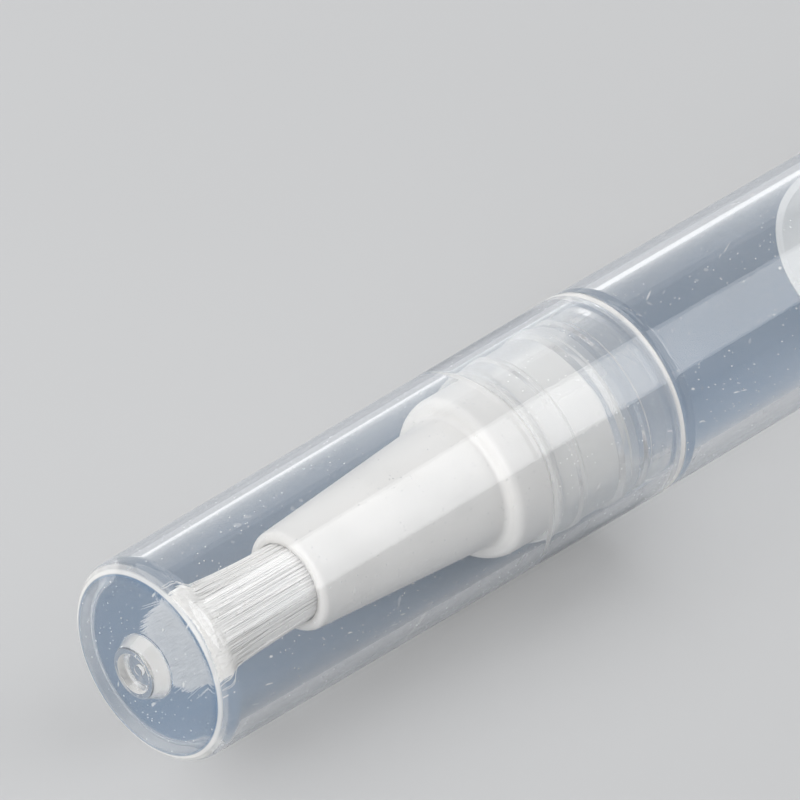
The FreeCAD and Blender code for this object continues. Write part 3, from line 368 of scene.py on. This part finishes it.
def turned(line, radii=None, turns=ROUND_TURNS):
    """Surface of revolution: the section's point at distance x and radius r goes round the pen's
    axis to (x, r sin t, height + r cos t) for even steps of t. A radius of nothing closes the
    surface in one pole, and a section without poles is closed in itself. radii, if given, holds r
    for every point and step."""
    angle = np.arange(turns) * (2 * math.pi / turns)
    radius = np.repeat(line[:, 1:], turns, axis=1) if radii is None else radii
    along = np.repeat(line[:, :1], turns, axis=1)
    grid = np.stack([along, radius * np.sin(angle), AXIS_HEIGHT + radius * np.cos(angle)], axis=2)
    poles = line[0, 1] < NOTHING, line[-1, 1] < NOTHING
    rings = np.arange(int(poles[0]), len(line) - int(poles[1]))
    points = grid[rings].reshape(-1, 3)
    number = np.arange(len(points)).reshape(len(rings), turns)
    upper = number[1:] if any(poles) else np.roll(number, -1, axis=0)
    lower = number[:len(upper)]
    quads = np.stack([lower, np.roll(lower, -1, 1), np.roll(upper, -1, 1), upper], 2).reshape(-1, 4)
    fans = np.zeros((0, 3), int)
    for end, ring, place in ((poles[0], number[0], 0), (poles[1], number[-1], -1)):
        if not end:
            continue
        tip = np.full(turns, len(points))
        points = np.concatenate([points, [[line[place, 0], 0.0, AXIS_HEIGHT]]])
        fan = np.stack([tip, np.roll(ring, -1), ring], 1)
        fans = np.concatenate([fans, fan if place == 0 else fan[:, ::-1]])
    return points, outward(points, quads, fans)


def outward(points, quads, fans):
    """The faces as one list, turned round if the volume they enclose comes out negative."""
    triangles = np.concatenate([quads[:, [0, 1, 2]], quads[:, [0, 2, 3]], fans])
    first, second, third = points[triangles].swapaxes(0, 1)
    volume = np.einsum("ij,ij->", first, np.cross(second, third))
    way = -1 if volume < 0 else 1
    return quads[:, ::way].tolist() + fans[:, ::way].tolist()


def new_piece(name, points, faces, finish, body, nodes):
    """A smooth mesh that rides a body and stands for CAD nodes."""
    mesh = bpy.data.meshes.new(name)
    mesh.from_pydata(points.tolist(), [], faces)
    mesh.shade_smooth()
    mesh.materials.append(finish)
    mesh.update()
    piece = bpy.data.objects.new(name, mesh)
    bpy.context.scene.collection.objects.link(piece)
    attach(piece, body)
    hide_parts(*nodes)
    return piece


def bead(place, width, height, foot):
    """Four corners of a ring that stands out from a foot radius."""
    return [
        (place - width / 2, foot, SLIGHT),
        (place - width / 5, foot + height, SLIGHT),
        (place + width / 5, foot + height, SLIGHT),
        (place + width / 2, foot, SLIGHT),
    ]


class Wire:
    """A shader socket that takes part in Python sums: each operator adds one Math node to its tree."""

    def __init__(self, tree, socket):
        self.tree = tree
        self.socket = socket

    def math(self, operation, *values):
        node = self.tree.nodes.new("ShaderNodeMath")
        node.operation = operation
        for socket, value in zip(node.inputs, values):
            if isinstance(value, Wire):
                self.tree.links.new(value.socket, socket)
            else:
                socket.default_value = value
        return Wire(self.tree, node.outputs[0])

    def __add__(self, other):
        return self.math("ADD", self, other)

    def __sub__(self, other):
        return self.math("SUBTRACT", self, other)

    def __rsub__(self, other):
        return self.math("SUBTRACT", other, self)

    def __mul__(self, other):
        return self.math("MULTIPLY", self, other)

    def __pow__(self, other):
        return self.math("POWER", self, other)

    __radd__ = __add__
    __rmul__ = __mul__

    def root(self):
        return self.math("SQRT", self)

    def most(self, other):
        return self.math("MAXIMUM", self, other)

    def least(self, other):
        return self.math("MINIMUM", self, other)


class Recipe:
    """The nodes of one material or world, all added by the one method node."""

    def __init__(self, owner):
        owner.use_nodes = True
        self.tree = owner.node_tree
        self.tree.nodes.clear()

    def node(self, kind, settings=None, sockets=None, out=0):
        """Adds a node, sets its settings and then feeds its sockets."""
        node = self.tree.nodes.new(kind)
        for name, value in (settings or {}).items():
            setattr(node, name, value)
        for name, value in (sockets or {}).items():
            if isinstance(value, Wire):
                self.tree.links.new(value.socket, node.inputs[name])
            else:
                node.inputs[name].default_value = value
        return Wire(self.tree, node.outputs[out]) if len(node.outputs) else None

    def several(self, names, kind, settings=None, sockets=None):
        """More than one output of the same new node."""
        outputs = self.node(kind, settings, sockets).socket.node.outputs
        return [Wire(self.tree, outputs[name]) for name in names]

    def blend(self, amount, first, second):
        """The first colour where amount is nothing, the second where it is the whole."""
        sockets = {0: amount, 6: first, 7: second}
        return self.node("ShaderNodeMix", {"data_type": "RGBA", "clamp_factor": True}, sockets, out=2)

    def step(self, value, low, high):
        """A soft step: nothing below low, the whole above high."""
        settings = {"interpolation_type": "SMOOTHSTEP", "clamp": True}
        return self.node("ShaderNodeMapRange", settings, {0: value, 1: low, 2: high, 3: 0.0, 4: 1.0})

    def window(self, value, low, high, soft):
        """The whole between low and high, nothing outside, with soft edges."""
        above = self.step(value, low - soft, low + soft)
        return above * (1 - self.step(value, high - soft, high + soft))

    def where(self):
        """The object's own coordinates."""
        return self.node("ShaderNodeTexCoord", out="Object")

    def along_and_out(self, where):
        """The distance along the pen and the distance from its axis."""
        along, side, height = self.several("XYZ", "ShaderNodeSeparateXYZ", None, {0: where})
        above = height - AXIS_HEIGHT
        return along, (side * side + above * above).root()

    def noise(self, where, scale, detail=2.0, roughness=0.5, stretch=None):
        """Cloudy noise from nothing to one, drawn out along an axis where stretch says so."""
        if stretch:
            where = self.node("ShaderNodeMapping", None, {"Vector": where, "Scale": stretch})
        sockets = {"Vector": where, "Scale": scale, "Detail": detail, "Roughness": roughness}
        return self.node("ShaderNodeTexNoise", None, sockets)

    def surface(self, shader):
        """The material's output."""
        self.node("ShaderNodeOutputMaterial", None, {"Surface": shader})


def with_alpha(tone):
    """A colour as a shader socket takes it."""
    return (*tone, 1.0)


def clear_plastic(name, looks, bands, lining):
    """Milky clear plastic: clear glass and a slate haze share the surface. The haze grows where
    the wall is seen along its length, and there a painted sheen turns the milk white; where a face
    is seen from within the wall at a slant, a painted white glow stands for light running inside
    it. The haze also grows in dust specks, in faint flow lines drawn out along the pen, and in the
    bands (start, end, least radius, greatest radius, strength, softness) where the plastic is thick;
    the cap's rim and boss bands also hold a painted highlight. The lining (start, end, greatest
    radius) is the bore's own face, which a thin film makes milkier. Lamps and scattered light pass
    straight through the glass."""
    material = bpy.data.materials.new(name)
    recipe = Recipe(material)
    where = recipe.where()
    along, radius = recipe.along_and_out(where)
    facing = recipe.node("ShaderNodeLayerWeight", None, {"Blend": 0.5}, out="Facing")
    inside = recipe.node("ShaderNodeNewGeometry", out="Backfacing")
    flow = recipe.noise(where, FLOW_SCALE, 2.0, 0.55, FLOW_STRETCH)
    mark = dust_and_hairlines(recipe, where)
    thick = None
    # Bands of thick plastic; at the cap's rim and boss they also paint a highlight.
    for start, end, low, high, strength, soft in bands:
        lengthways = recipe.window(along, start, end, soft)
        band = lengthways * recipe.window(radius, low, high, soft) * strength
        thick = band if thick is None else thick.most(band)
    start, end, high = lining
    bore = 1 - recipe.step(radius, high - SMALL, high + SMALL)
    film = recipe.window(along, start, end, SMALL) * bore * (1 - inside) * looks.film_share
    edge = facing ** EDGE_POWER
    # Painted light piping: white milk on faces seen from within the wall at a slant.
    painted_piping = inside * recipe.step(facing, *PAINTED_PIPING_FACING)
    straight_on, slanting = THICK_AND_HIGHLIGHT_HAZE
    haze = looks.haze_share + (flow - 0.5) * FLOW_HAZE + edge * EDGE_HAZE + film
    haze = haze.most(thick * (straight_on + facing * slanting)).most(painted_piping * PAINTED_PIPING_SHARE)
    haze = haze.most(mark * MARK_HAZE).least(MOST_HAZE)
    white = with_alpha(looks.thick_haze_and_painted_light)
    tone = recipe.blend((thick * FULL_TONE).least(1.0), with_alpha(looks.haze), white)
    tone = recipe.blend((mark * FULL_TONE).least(1.0), tone, with_alpha(looks.dust))
    thin = recipe.node("ShaderNodeBsdfPrincipled", None, {"Base Color": tone, **MILK_GLOSS})
    # White milk that carries the painted sheen and the painted light piping.
    painted_light_milk = recipe.node("ShaderNodeBsdfPrincipled", None, {"Base Color": white, **MILK_GLOSS})
    # Painted light: a painted sheen where the wall is seen along its length, and a painted glow where
    # light runs inside it, turn the milk white.
    depth = (edge * PAINTED_EDGE_SHEEN).most(painted_piping)
    milk = recipe.node("ShaderNodeMixShader", None, {0: depth, 1: thin, 2: painted_light_milk})
    tint = with_alpha(looks.tint)
    glass = recipe.node("ShaderNodeBsdfGlass", None, {
        "Color": tint, "Roughness": GLASS_ROUGHNESS + flow * GLASS_FLOW, "IOR": GLASS_IOR})
    clear = recipe.node("ShaderNodeBsdfTransparent", None, {"Color": tint})
    shadow, scattered = recipe.several(("Is Shadow Ray", "Is Diffuse Ray"), "ShaderNodeLightPath")
    light = shadow.most(scattered)
    through = recipe.node("ShaderNodeMixShader", None, {0: light, 1: glass, 2: clear})
    milky = haze * (1 - light * LIGHT_PASS)
    recipe.surface(recipe.node("ShaderNodeMixShader", None, {0: milky, 1: through, 2: milk}))
    return material


def dust_and_hairlines(recipe, where):
    """Where the clear plastic is marked: specks at the middles of some cells, in patches, and
    fainter streaks of noise that is drawn out along a slanting axis."""
    cell, tag = recipe.several(("Distance", "Color"), "ShaderNodeTexVoronoi", {"feature": "F1"},
                               {"Vector": where, "Scale": DUST_SCALE})
    chance = recipe.node("ShaderNodeSeparateColor", None, {0: tag})
    patch = recipe.step(recipe.noise(where, DUST_PATCH_SCALE, 1.0), *DUST_PATCH)
    speck = (1 - recipe.step(cell, *DUST_SIZE)) * recipe.step(chance, *DUST_CHANCE) * patch
    askew = recipe.node("ShaderNodeMapping", None, {"Vector": where, "Rotation": HAIRLINE_TURN})
    hairline = recipe.step(recipe.noise(askew, HAIRLINE_SCALE, 0.0, 0.5, HAIRLINE_STRETCH), *HAIRLINE)
    return speck.most(hairline * HAIRLINE_SHARE)


def white_plastic(name, tone):
    """Opaque moulded plastic: an even tone with faint clouds, a satin gloss and a very fine skin."""
    material = bpy.data.materials.new(name)
    recipe = Recipe(material)
    where = recipe.where()
    cloud = recipe.noise(where, CLOUD_SCALE)
    skin = recipe.noise(where, SKIN_SCALE)
    dull = tuple(part * CLOUD_DULL for part in tone)
    shade = recipe.blend(recipe.step(cloud, *CLOUD), with_alpha(tone), with_alpha(dull))
    bump = recipe.node("ShaderNodeBump", None, {
        "Strength": SKIN_STRENGTH, "Distance": SKIN_DEPTH, "Height": skin})
    gloss = WHITE_ROUGHNESS + cloud * WHITE_CLOUD
    recipe.surface(recipe.node("ShaderNodeBsdfPrincipled", None, {
        "Base Color": shade, "Roughness": gloss, "IOR": WHITE_IOR, "Normal": bump}))
    return material


def nylon(name, bristle):
    """Fine bristles: each one takes a tone of its own from the mesh's shade attribute."""
    material = bpy.data.materials.new(name)
    recipe = Recipe(material)
    shade = recipe.node("ShaderNodeAttribute", {"attribute_name": "shade"}, out="Fac")
    dull = tuple(part * NYLON_DULL for part in bristle)
    tone = recipe.blend(shade, with_alpha(dull), with_alpha(bristle))
    gloss = NYLON_ROUGHNESS + shade * NYLON_SHADE
    recipe.surface(recipe.node("ShaderNodeBsdfPrincipled", None, {
        "Base Color": tone, "Roughness": gloss, "IOR": NYLON_IOR}))
    return material


def looking(place, way):
    """The matrix of a lamp or camera that stands at a place and looks along a way."""
    return Matrix.Translation(place) @ way.to_track_quat("-Z", "Y").to_matrix().to_4x4()


class NAILPEN_OT_stage(bpy.types.Operator):
    """Floor, even light, four soft lamps and the camera"""

    bl_idname = "nail_pen.stage"
    bl_label = "Stage"

    def execute(self, context):
        scene = context.scene
        stage = scene.nail_pen.stage
        scene.view_settings.view_transform = "Standard"
        scene.cycles.transparent_max_bounces = CLEAR_LAYERS
        self.lay_floor(scene, stage)
        self.light_room(scene, stage)
        self.hang_lamps(scene, stage)
        self.place_camera(scene, stage)
        return {"FINISHED"}

    def lay_floor(self, scene, stage):
        """A square floor with a very faint grain."""
        half = stage.floor_size / 2
        corners = [(-half, -half, 0), (half, -half, 0), (half, half, 0), (-half, half, 0)]
        mesh = bpy.data.meshes.new("floor")
        mesh.from_pydata(corners, [], [(0, 1, 2, 3)])
        material = bpy.data.materials.new("floor")
        recipe = Recipe(material)
        grain = recipe.step(recipe.noise(recipe.where(), FLOOR_GRAIN_SCALE), *FLOOR_GRAIN)
        pale = tuple(min(part * FLOOR_PALER, 1.0) for part in stage.floor)
        tone = recipe.blend(grain, with_alpha(stage.floor), with_alpha(pale))
        recipe.surface(recipe.node("ShaderNodeBsdfPrincipled", None, {
            "Base Color": tone, "Roughness": 0.6, "Specular IOR Level": 0.2}))
        mesh.materials.append(material)
        floor = bpy.data.objects.new("floor", mesh)
        scene.collection.objects.link(floor)

    def light_room(self, scene, stage):
        """Even light from all sides; what is seen, mirrored or looked through to is the backdrop."""
        world = bpy.data.worlds.new("studio")
        scene.world = world
        recipe = Recipe(world)
        camera, glossy, through = recipe.several(
            ("Is Camera Ray", "Is Glossy Ray", "Is Transmission Ray"), "ShaderNodeLightPath")
        seen = camera.most(glossy).most(through)
        even = recipe.node("ShaderNodeBackground", None, {
            "Color": with_alpha(stage.sky), "Strength": stage.sky_light})
        backdrop = recipe.node("ShaderNodeBackground", None, {
            "Color": with_alpha(stage.floor), "Strength": stage.backdrop})
        both = recipe.node("ShaderNodeMixShader", None, {0: seen, 1: even, 2: backdrop})
        recipe.node("ShaderNodeOutputWorld", None, {"Surface": both})

    def hang_lamps(self, scene, stage):
        """Four soft lamps whose power is their brightness times their area."""
        for name, (place, size) in LAMPS.items():
            lamp = bpy.data.lights.new(name, "AREA")
            lamp.shape = "RECTANGLE"
            lamp.size, lamp.size_y = size
            lamp.energy = getattr(stage, name + "_light") * math.pi * size[0] * size[1]
            holder = bpy.data.objects.new(name, lamp)
            scene.collection.objects.link(holder)
            holder.matrix_world = looking(Vector(place), LAMP_AIM - Vector(place))

    def place_camera(self, scene, stage):
        """The camera at its angle and distance from the cap's closed end, moved sideways and up."""
        turn, rise = stage.azimuth, stage.elevation
        level_back = Vector((math.sin(turn), -math.cos(turn), 0.0))
        back = level_back * math.cos(rise) + Vector((0.0, 0.0, math.sin(rise)))
        right = Vector((math.cos(turn), math.sin(turn), 0.0))
        up = back.cross(right)
        end = Vector((CAP_FRONT + scene.nail_pen.cap.boss_height, 0.0, AXIS_HEIGHT))
        camera = bpy.data.cameras.new("camera")
        camera.sensor_width = SENSOR
        camera.lens = stage.lens
        camera.clip_start, camera.clip_end = CLIP
        holder = bpy.data.objects.new("camera", camera)
        scene.collection.objects.link(holder)
        place = end + back * stage.distance + right * stage.aim_right + up * stage.aim_up
        holder.matrix_world = looking(place, -back)
        scene.camera = holder


class NAILPEN_OT_cap(bpy.types.Operator):
    """Clear cap with its gate boss"""

    bl_idname = "nail_pen.cap"
    bl_label = "Cap"

    RIM_WIDTH = 0.5 * MM
    LIP_LENGTH = 0.45 * MM

    def execute(self, context):
        cap = context.scene.nail_pen.cap
        looks = context.scene.nail_pen.looks
        face = CAP_FRONT + cap.boss_height
        floor = CAP_FRONT + cap.crater_depth
        inside = face + cap.end_thickness
        end_radius = CAP_RADIUS - cap.draft
        socket = CAP_RADIUS - cap.wall
        socket_end = CAP_MOUTH - cap.socket
        line = rounded([
            (floor - cap.nub_height, 0.0, 0.0),
            (floor - cap.nub_height, cap.nub, CRISP),
            (floor, cap.nub, CRISP),
            (floor, cap.crater_floor, SOFT),
            (CAP_FRONT, cap.crater_rim, CRISP),
            (CAP_FRONT, cap.boss_top, cap.boss_round),
            (face, cap.boss_base, cap.boss_round),
            (face, end_radius, cap.end_round),
            (CAP_MOUTH, CAP_RADIUS, EASED),
            (CAP_MOUTH, socket, SOFT),
            (socket_end, socket, SMALL),
            (socket_end - cap.socket_step, socket - cap.socket_step, SMALL),
            (inside, end_radius - cap.end_wall, cap.inner_round),
            (inside, 0.0, 0.0),
        ])
        points, faces = turned(line)
        ahead, wide = CAP_FRONT - MM, CAP_RADIUS + MM
        rim = end_radius - self.RIM_WIDTH
        lip = CAP_MOUTH - self.LIP_LENGTH
        bands = [
            # End rim band: milkier thick plastic at the rounding, with a painted highlight in its
            # white.
            (ahead, face + cap.end_round / 2, rim, wide, *CAP_RIM_AND_HIGHLIGHT),
            # Gate boss band: milkier thick plastic, with a painted highlight in its white.
            (ahead, face - SLIGHT, -MM, cap.boss_base + SMALL, *CAP_BOSS_AND_HIGHLIGHT),
            (lip, CAP_MOUTH + MM, -MM, wide, *CAP_LIP),
        ]
        finish = clear_plastic("cap_plastic", looks, bands, (face, CAP_MOUTH, socket + SMALL))
        new_piece("cap_shell", points, faces, finish, "cap", ["cap"])
        return {"FINISHED"}


class NAILPEN_OT_barrel(bpy.types.Operator):
    """Clear barrel with its ringed neck"""

    bl_idname = "nail_pen.barrel"
    bl_label = "Barrel"

    PLUG_REACH = 6.0 * MM
    LINING_SPARE = 0.2 * MM

    def execute(self, context):
        barrel = context.scene.nail_pen.barrel
        looks = context.scene.nail_pen.looks
        shoulder = NECK_FRONT + barrel.neck_length
        neck = barrel.neck_radius
        bore = BARREL_RADIUS - barrel.wall
        rear = bore + barrel.rear_step
        seat = BARREL_REAR - barrel.rear_bore
        line = rounded([
            (NECK_FRONT, neck - barrel.neck_wall, 0.0),
            (NECK_FRONT, neck, barrel.neck_round),
            *bead(shoulder - barrel.ridge, barrel.ring_width, barrel.ring_height, neck),
            *bead(shoulder - barrel.bead, barrel.bead_width, barrel.bead_height, neck),
            *bead(shoulder - barrel.stop_ring, barrel.ring_width, barrel.ring_height, neck),
            (shoulder, neck, SLIGHT),
            (shoulder, BARREL_RADIUS, barrel.edge),
            (BARREL_REAR, BARREL_RADIUS, barrel.edge),
            (BARREL_REAR, rear, SLIGHT),
            (seat, rear, SLIGHT),
            (seat, bore, SLIGHT),
            (shoulder + barrel.bore_cone, bore, SLIGHT),
            (shoulder, neck - barrel.neck_wall, SLIGHT),
            (NECK_FRONT + MM, neck - barrel.neck_wall, 0.0),
        ])
        points, faces = turned(line)
        wide = BARREL_RADIUS + MM
        plugged = NECK_FRONT + self.PLUG_REACH
        bands = [
            (NECK_FRONT - MM, plugged, -MM, wide, *PLUGGED_NECK),
            (plugged, shoulder - END_BAND, -MM, wide, *OPEN_NECK),
            (BARREL_REAR - END_BAND, BARREL_REAR + MM, -MM, wide, *BARREL_END),
        ]
        lining = shoulder, BARREL_REAR, rear + self.LINING_SPARE
        finish = clear_plastic("barrel_plastic", looks, bands, lining)
        new_piece("barrel_shell", points, faces, finish, "barrel", ["barrel"])
        return {"FINISHED"}


class NAILPEN_OT_nozzle(bpy.types.Operator):
    """White stepped nozzle"""

    bl_idname = "nail_pen.nozzle"
    bl_label = "Nozzle"

    def execute(self, context):
        nozzle = context.scene.nail_pen.nozzle
        flange = NOZZLE_FRONT + nozzle.cone_length
        seat = flange + nozzle.flange_length
        line = rounded([
            (NOZZLE_FRONT, nozzle.hole, 0.0),
            (NOZZLE_FRONT, nozzle.front_radius, nozzle.front_round),
            (flange, nozzle.cone_rear, ROUND),
            (flange, FLANGE_RADIUS, nozzle.flange_round),
            (seat, FLANGE_RADIUS, nozzle.flange_rear),
            (seat, nozzle.plug_radius, EASED),
            (NOZZLE_REAR, nozzle.plug_radius, ROUND),
            (NOZZLE_REAR, nozzle.seat_bore, EASED),
            (NOZZLE_FRONT + nozzle.seat_depth, nozzle.seat_bore, EASED),
            (NOZZLE_FRONT + nozzle.seat_depth, nozzle.hole, EASED),
            (NOZZLE_FRONT + EASED, nozzle.hole, 0.0),
        ])
        points, faces = turned(line)
        finish = white_plastic("nozzle_white", context.scene.nail_pen.looks.white)
        new_piece("nozzle", points, faces, finish, "barrel", ["brush_holder"])
        return {"FINISHED"}


class NAILPEN_OT_bristles(bpy.types.Operator):
    """Nylon bristles that stand in the nozzle"""

    bl_idname = "nail_pen.bristles"
    bl_label = "Bristles"

    SEED = 7
    SIDES = 4
    TAPER = (1.0, 1.0, 1.0, 0.9, 0.65, 0.2)
    RINGS = len(TAPER)
    ROOT_DEPTH = 1.5 * MM
    TURN_JITTER = 0.04
    RAGGED_SPREAD = 0.45
    CROWN = 0.35 * MM
    WIDENING = 1.5
    SIDEWAYS = 0.085 * MM
    LEAST_STRAY = 0.1
    SHADE = (0.85, 0.15)

    def execute(self, context):
        points, faces, shade = self.bundle(context.scene.nail_pen.nozzle)
        finish = nylon("bristle_nylon", context.scene.nail_pen.looks.bristle)
        piece = new_piece("bristles", points, faces, finish, "barrel", ["brush_tuft"])
        attribute = piece.data.attributes.new("shade", "FLOAT", "POINT")
        attribute.data.foreach_set("value", shade.astype(np.float32))
        return {"FINISHED"}

    def bundle(self, nozzle):
        """Every bristle is a thin tube of RINGS rings: its root lies on a sunflower spiral (radius
        as the root of its number, angle by the golden angle), it leans outwards so that the bundle
        widens, bows and strays a little sideways by random amounts that grow with the square of the
        way out, and ends in a point. A few of the outer ones stand further out, by the cube of the
        way."""
        draw = np.random.default_rng(self.SEED)
        number = np.arange(nozzle.bristles)
        spread = np.sqrt((number + 0.5) / nozzle.bristles)
        golden = math.pi * (3 - math.sqrt(5))
        turn = number * golden + draw.normal(0, self.TURN_JITTER, nozzle.bristles)
        root = NOZZLE_FRONT + self.ROOT_DEPTH
        short = np.abs(draw.normal(0, self.RAGGED_SPREAD, nozzle.bristles)) * nozzle.ragged
        tip = TUFT_TIP + short + spread ** 4 * self.CROWN
        way = np.linspace(0, 1, self.RINGS)
        along = root + (tip - root)[:, None] * way
        out = nozzle.root_radius + (nozzle.tip_radius - nozzle.root_radius) * way ** self.WIDENING
        radial = spread[:, None] * out * (1 - nozzle.bristle / nozzle.tip_radius)
        stray = draw.normal(0, self.SIDEWAYS, (2, nozzle.bristles))
        side = radial * np.sin(turn)[:, None] + stray[0][:, None] * way ** 2
        rise = radial * np.cos(turn)[:, None] + stray[1][:, None] * way ** 2
        reach = np.hypot(side, rise)
        most = TUFT_RADIUS - 2 * nozzle.bristle
        inside = np.minimum(1.0, most / np.maximum(reach, NOTHING))
        apart = np.zeros(nozzle.bristles)
        outer = number[nozzle.bristles * 4 // 5:]
        loose = draw.choice(outer, nozzle.strays, replace=False)
        apart[loose] = nozzle.stray_reach * draw.uniform(self.LEAST_STRAY, 1, nozzle.strays) ** 2
        inside = inside * (1 + apart[:, None] * way ** 3 / np.maximum(reach, NOTHING))
        taper = nozzle.bristle * np.array(self.TAPER)
        angle = np.arange(self.SIDES) * (2 * math.pi / self.SIDES)
        grid = np.stack([
            np.broadcast_to(along[:, :, None], (nozzle.bristles, self.RINGS, self.SIDES)),
            (side * inside)[:, :, None] + taper[:, None] * np.sin(angle),
            AXIS_HEIGHT + (rise * inside)[:, :, None] + taper[:, None] * np.cos(angle),
        ], axis=3)
        index = np.arange(grid[..., 0].size).reshape(grid.shape[:3])
        lower, upper = index[:, :-1], index[:, 1:]
        quads = np.stack([lower, upper, np.roll(upper, -1, 2), np.roll(lower, -1, 2)], 3)
        ends = np.concatenate([index[:, 0], index[:, -1, ::-1]])
        own = np.clip(draw.normal(*self.SHADE, nozzle.bristles), 0, 1)
        shade = np.repeat(own, self.RINGS * self.SIDES)
        return grid.reshape(-1, 3), quads.reshape(-1, 4).tolist() + ends.tolist(), shade


class NAILPEN_OT_knob(bpy.types.Operator):
    """Fluted twist knob and its end plug"""

    bl_idname = "nail_pen.knob"
    bl_label = "Twist knob"

    STEPS_PER_FLUTE = 12
    LAND = 0.35
    GROOVE_POWER = 1.5
    TOUCHING = 1e-7
    LINING_SPARE = 0.2 * MM

    def execute(self, context):
        pen = context.scene.nail_pen
        self.fluted_knob(pen.knob, pen.looks)
        self.end_plug(pen.knob, pen.looks)
        return {"FINISHED"}

    def fluted_knob(self, knob, looks):
        """A turned shell whose outside sinks by the flute's depth times the top of a squared cosine
        round each flute, faded in and out along the pen."""
        front = BARREL_REAR + knob.front_gap
        catch = BARREL_REAR - knob.bead_offset
        web = SPIGOT_FRONT + knob.sleeve_rear
        first = front + knob.flute_front
        last = first + knob.flute_length
        run = knob.flute_run
        stops = [first - run, first - run / 2, first, first + run / 2, first + run]
        stops += [last - run, last - run / 2, last, last + run / 2, last + run]
        line = rounded([
            (SPIGOT_FRONT, knob.sleeve_bore, 0.0),
            (SPIGOT_FRONT, knob.spigot_radius, knob.spigot_round),
            *bead(catch, knob.bead_width, knob.bead_height, knob.spigot_radius),
            (front, knob.spigot_radius, SLIGHT),
            (front, KNOB_RADIUS, knob.edge),
            *[(place, KNOB_RADIUS, 0.0) for place in stops],
            (KNOB_REAR, KNOB_RADIUS, knob.edge),
            (KNOB_REAR, knob.tail_bore, SLIGHT),
            (web, knob.tail_bore, SLIGHT),
            (web, knob.sleeve_bore, SLIGHT),
            (SPIGOT_FRONT + SLIGHT, knob.sleeve_bore, 0.0),
        ])
        turns = knob.flutes * self.STEPS_PER_FLUTE
        angle = np.arange(turns) * (2 * math.pi / turns)
        wave = np.cos(angle * knob.flutes / 2) ** 2
        groove = np.clip((wave - self.LAND) / (1 - self.LAND), 0, 1) ** self.GROOVE_POWER
        outside = line[:, 1] > KNOB_RADIUS - self.TOUCHING
        start = np.clip((line[:, 0] - first + run) / (2 * run), 0, 1)
        stop = np.clip((last + run - line[:, 0]) / (2 * run), 0, 1)
        fade = start * stop
        fade = fade * fade * (3 - 2 * fade) * outside
        radii = line[:, 1:] - knob.flute_depth * fade[:, None] * groove
        points, faces = turned(line, radii, turns)
        wide = KNOB_RADIUS + MM
        bands = [
            (front - MM, front + END_BAND, knob.spigot_radius, wide, *KNOB_END),
            (KNOB_REAR - END_BAND, KNOB_REAR + MM, -MM, wide, *KNOB_END),
        ]
        lining = front, KNOB_REAR, knob.tail_bore + self.LINING_SPARE
        finish = clear_plastic("knob_plastic", looks, bands, lining)
        new_piece("knob_shell", points, faces, finish, "knob", ["twist_knob"])

    def end_plug(self, knob, looks):
        """A turned disc with a hollow stem."""
        disc = TAIL_REAR - knob.disc
        stem_bore = knob.stem_radius - knob.stem_wall
        line = rounded([
            (TAIL_REAR, 0.0, 0.0),
            (TAIL_REAR, DISC_RADIUS, knob.edge),
            (disc, DISC_RADIUS, SLIGHT),
            (disc, knob.stem_radius, SLIGHT),
            (STEM_FRONT, knob.stem_radius, SOFT),
            (STEM_FRONT, stem_bore, SLIGHT),
            (disc, stem_bore, SLIGHT),
            (disc, 0.0, 0.0),
        ])
        points, faces = turned(line)
        bands = [(disc - MM, TAIL_REAR + MM, -MM, DISC_RADIUS + MM, *PLUG_DISC)]
        lining = STEM_FRONT, disc, knob.stem_radius - knob.stem_wall / 2
        finish = clear_plastic("plug_plastic", looks, bands, lining)
        new_piece("tail_disc", points, faces, finish, "knob", ["tail_plug"])


class NAILPEN_OT_mechanism(bpy.types.Operator):
    """Finishes of the feed mechanism's own solids"""

    bl_idname = "nail_pen.mechanism"
    bl_label = "Mechanism"

    def execute(self, context):
        looks = context.scene.nail_pen.looks
        white = white_plastic("mechanism_white", looks.inner)
        soft = white_plastic("piston_soft", looks.soft)
        for node, finish in (
            ("brush_seat", white), ("feed_plug", white), ("screw_nut", white), ("ratchet_ring", white),
            ("click_ring", white), ("drive_sleeve", white), ("lead_screw", white), ("piston", soft),
        ):
            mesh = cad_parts[node].data
            mesh.materials.clear()
            mesh.materials.append(finish)
        return {"FINISHED"}


PIECES = (
    NAILPEN_OT_stage, NAILPEN_OT_cap, NAILPEN_OT_barrel, NAILPEN_OT_nozzle, NAILPEN_OT_bristles,
    NAILPEN_OT_knob, NAILPEN_OT_mechanism,
)


class PenSettings(bpy.types.PropertyGroup):
    """All the pen's settings."""

    cap: PointerProperty(type=CapSizes)
    barrel: PointerProperty(type=BarrelSizes)
    nozzle: PointerProperty(type=NozzleSizes)
    knob: PointerProperty(type=KnobSizes)
    looks: PointerProperty(type=Finishes)
    stage: PointerProperty(type=StageSizes)


class NAILPEN_PT_panel(bpy.types.Panel):
    """Lists the pen's pieces"""

    bl_idname = "NAILPEN_PT_panel"
    bl_label = "Nail oil pen"
    bl_space_type = "VIEW_3D"
    bl_region_type = "UI"
    bl_category = "Nail pen"

    def draw(self, context):
        for piece in PIECES:
            self.layout.operator(piece.bl_idname)


CLASSES = (*GROUPS, PenSettings, *PIECES, NAILPEN_PT_panel)


def register():
    for kind in CLASSES:
        bpy.utils.register_class(kind)
    bpy.types.Scene.nail_pen = PointerProperty(type=PenSettings)


def unregister():
    del bpy.types.Scene.nail_pen
    for kind in reversed(CLASSES):
        bpy.utils.unregister_class(kind)


def main():
    """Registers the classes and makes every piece."""
    register()
    for piece in PIECES:
        family, name = piece.bl_idname.split(".")
        getattr(getattr(bpy.ops, family), name)()


if __name__ == "__main__":
    main()
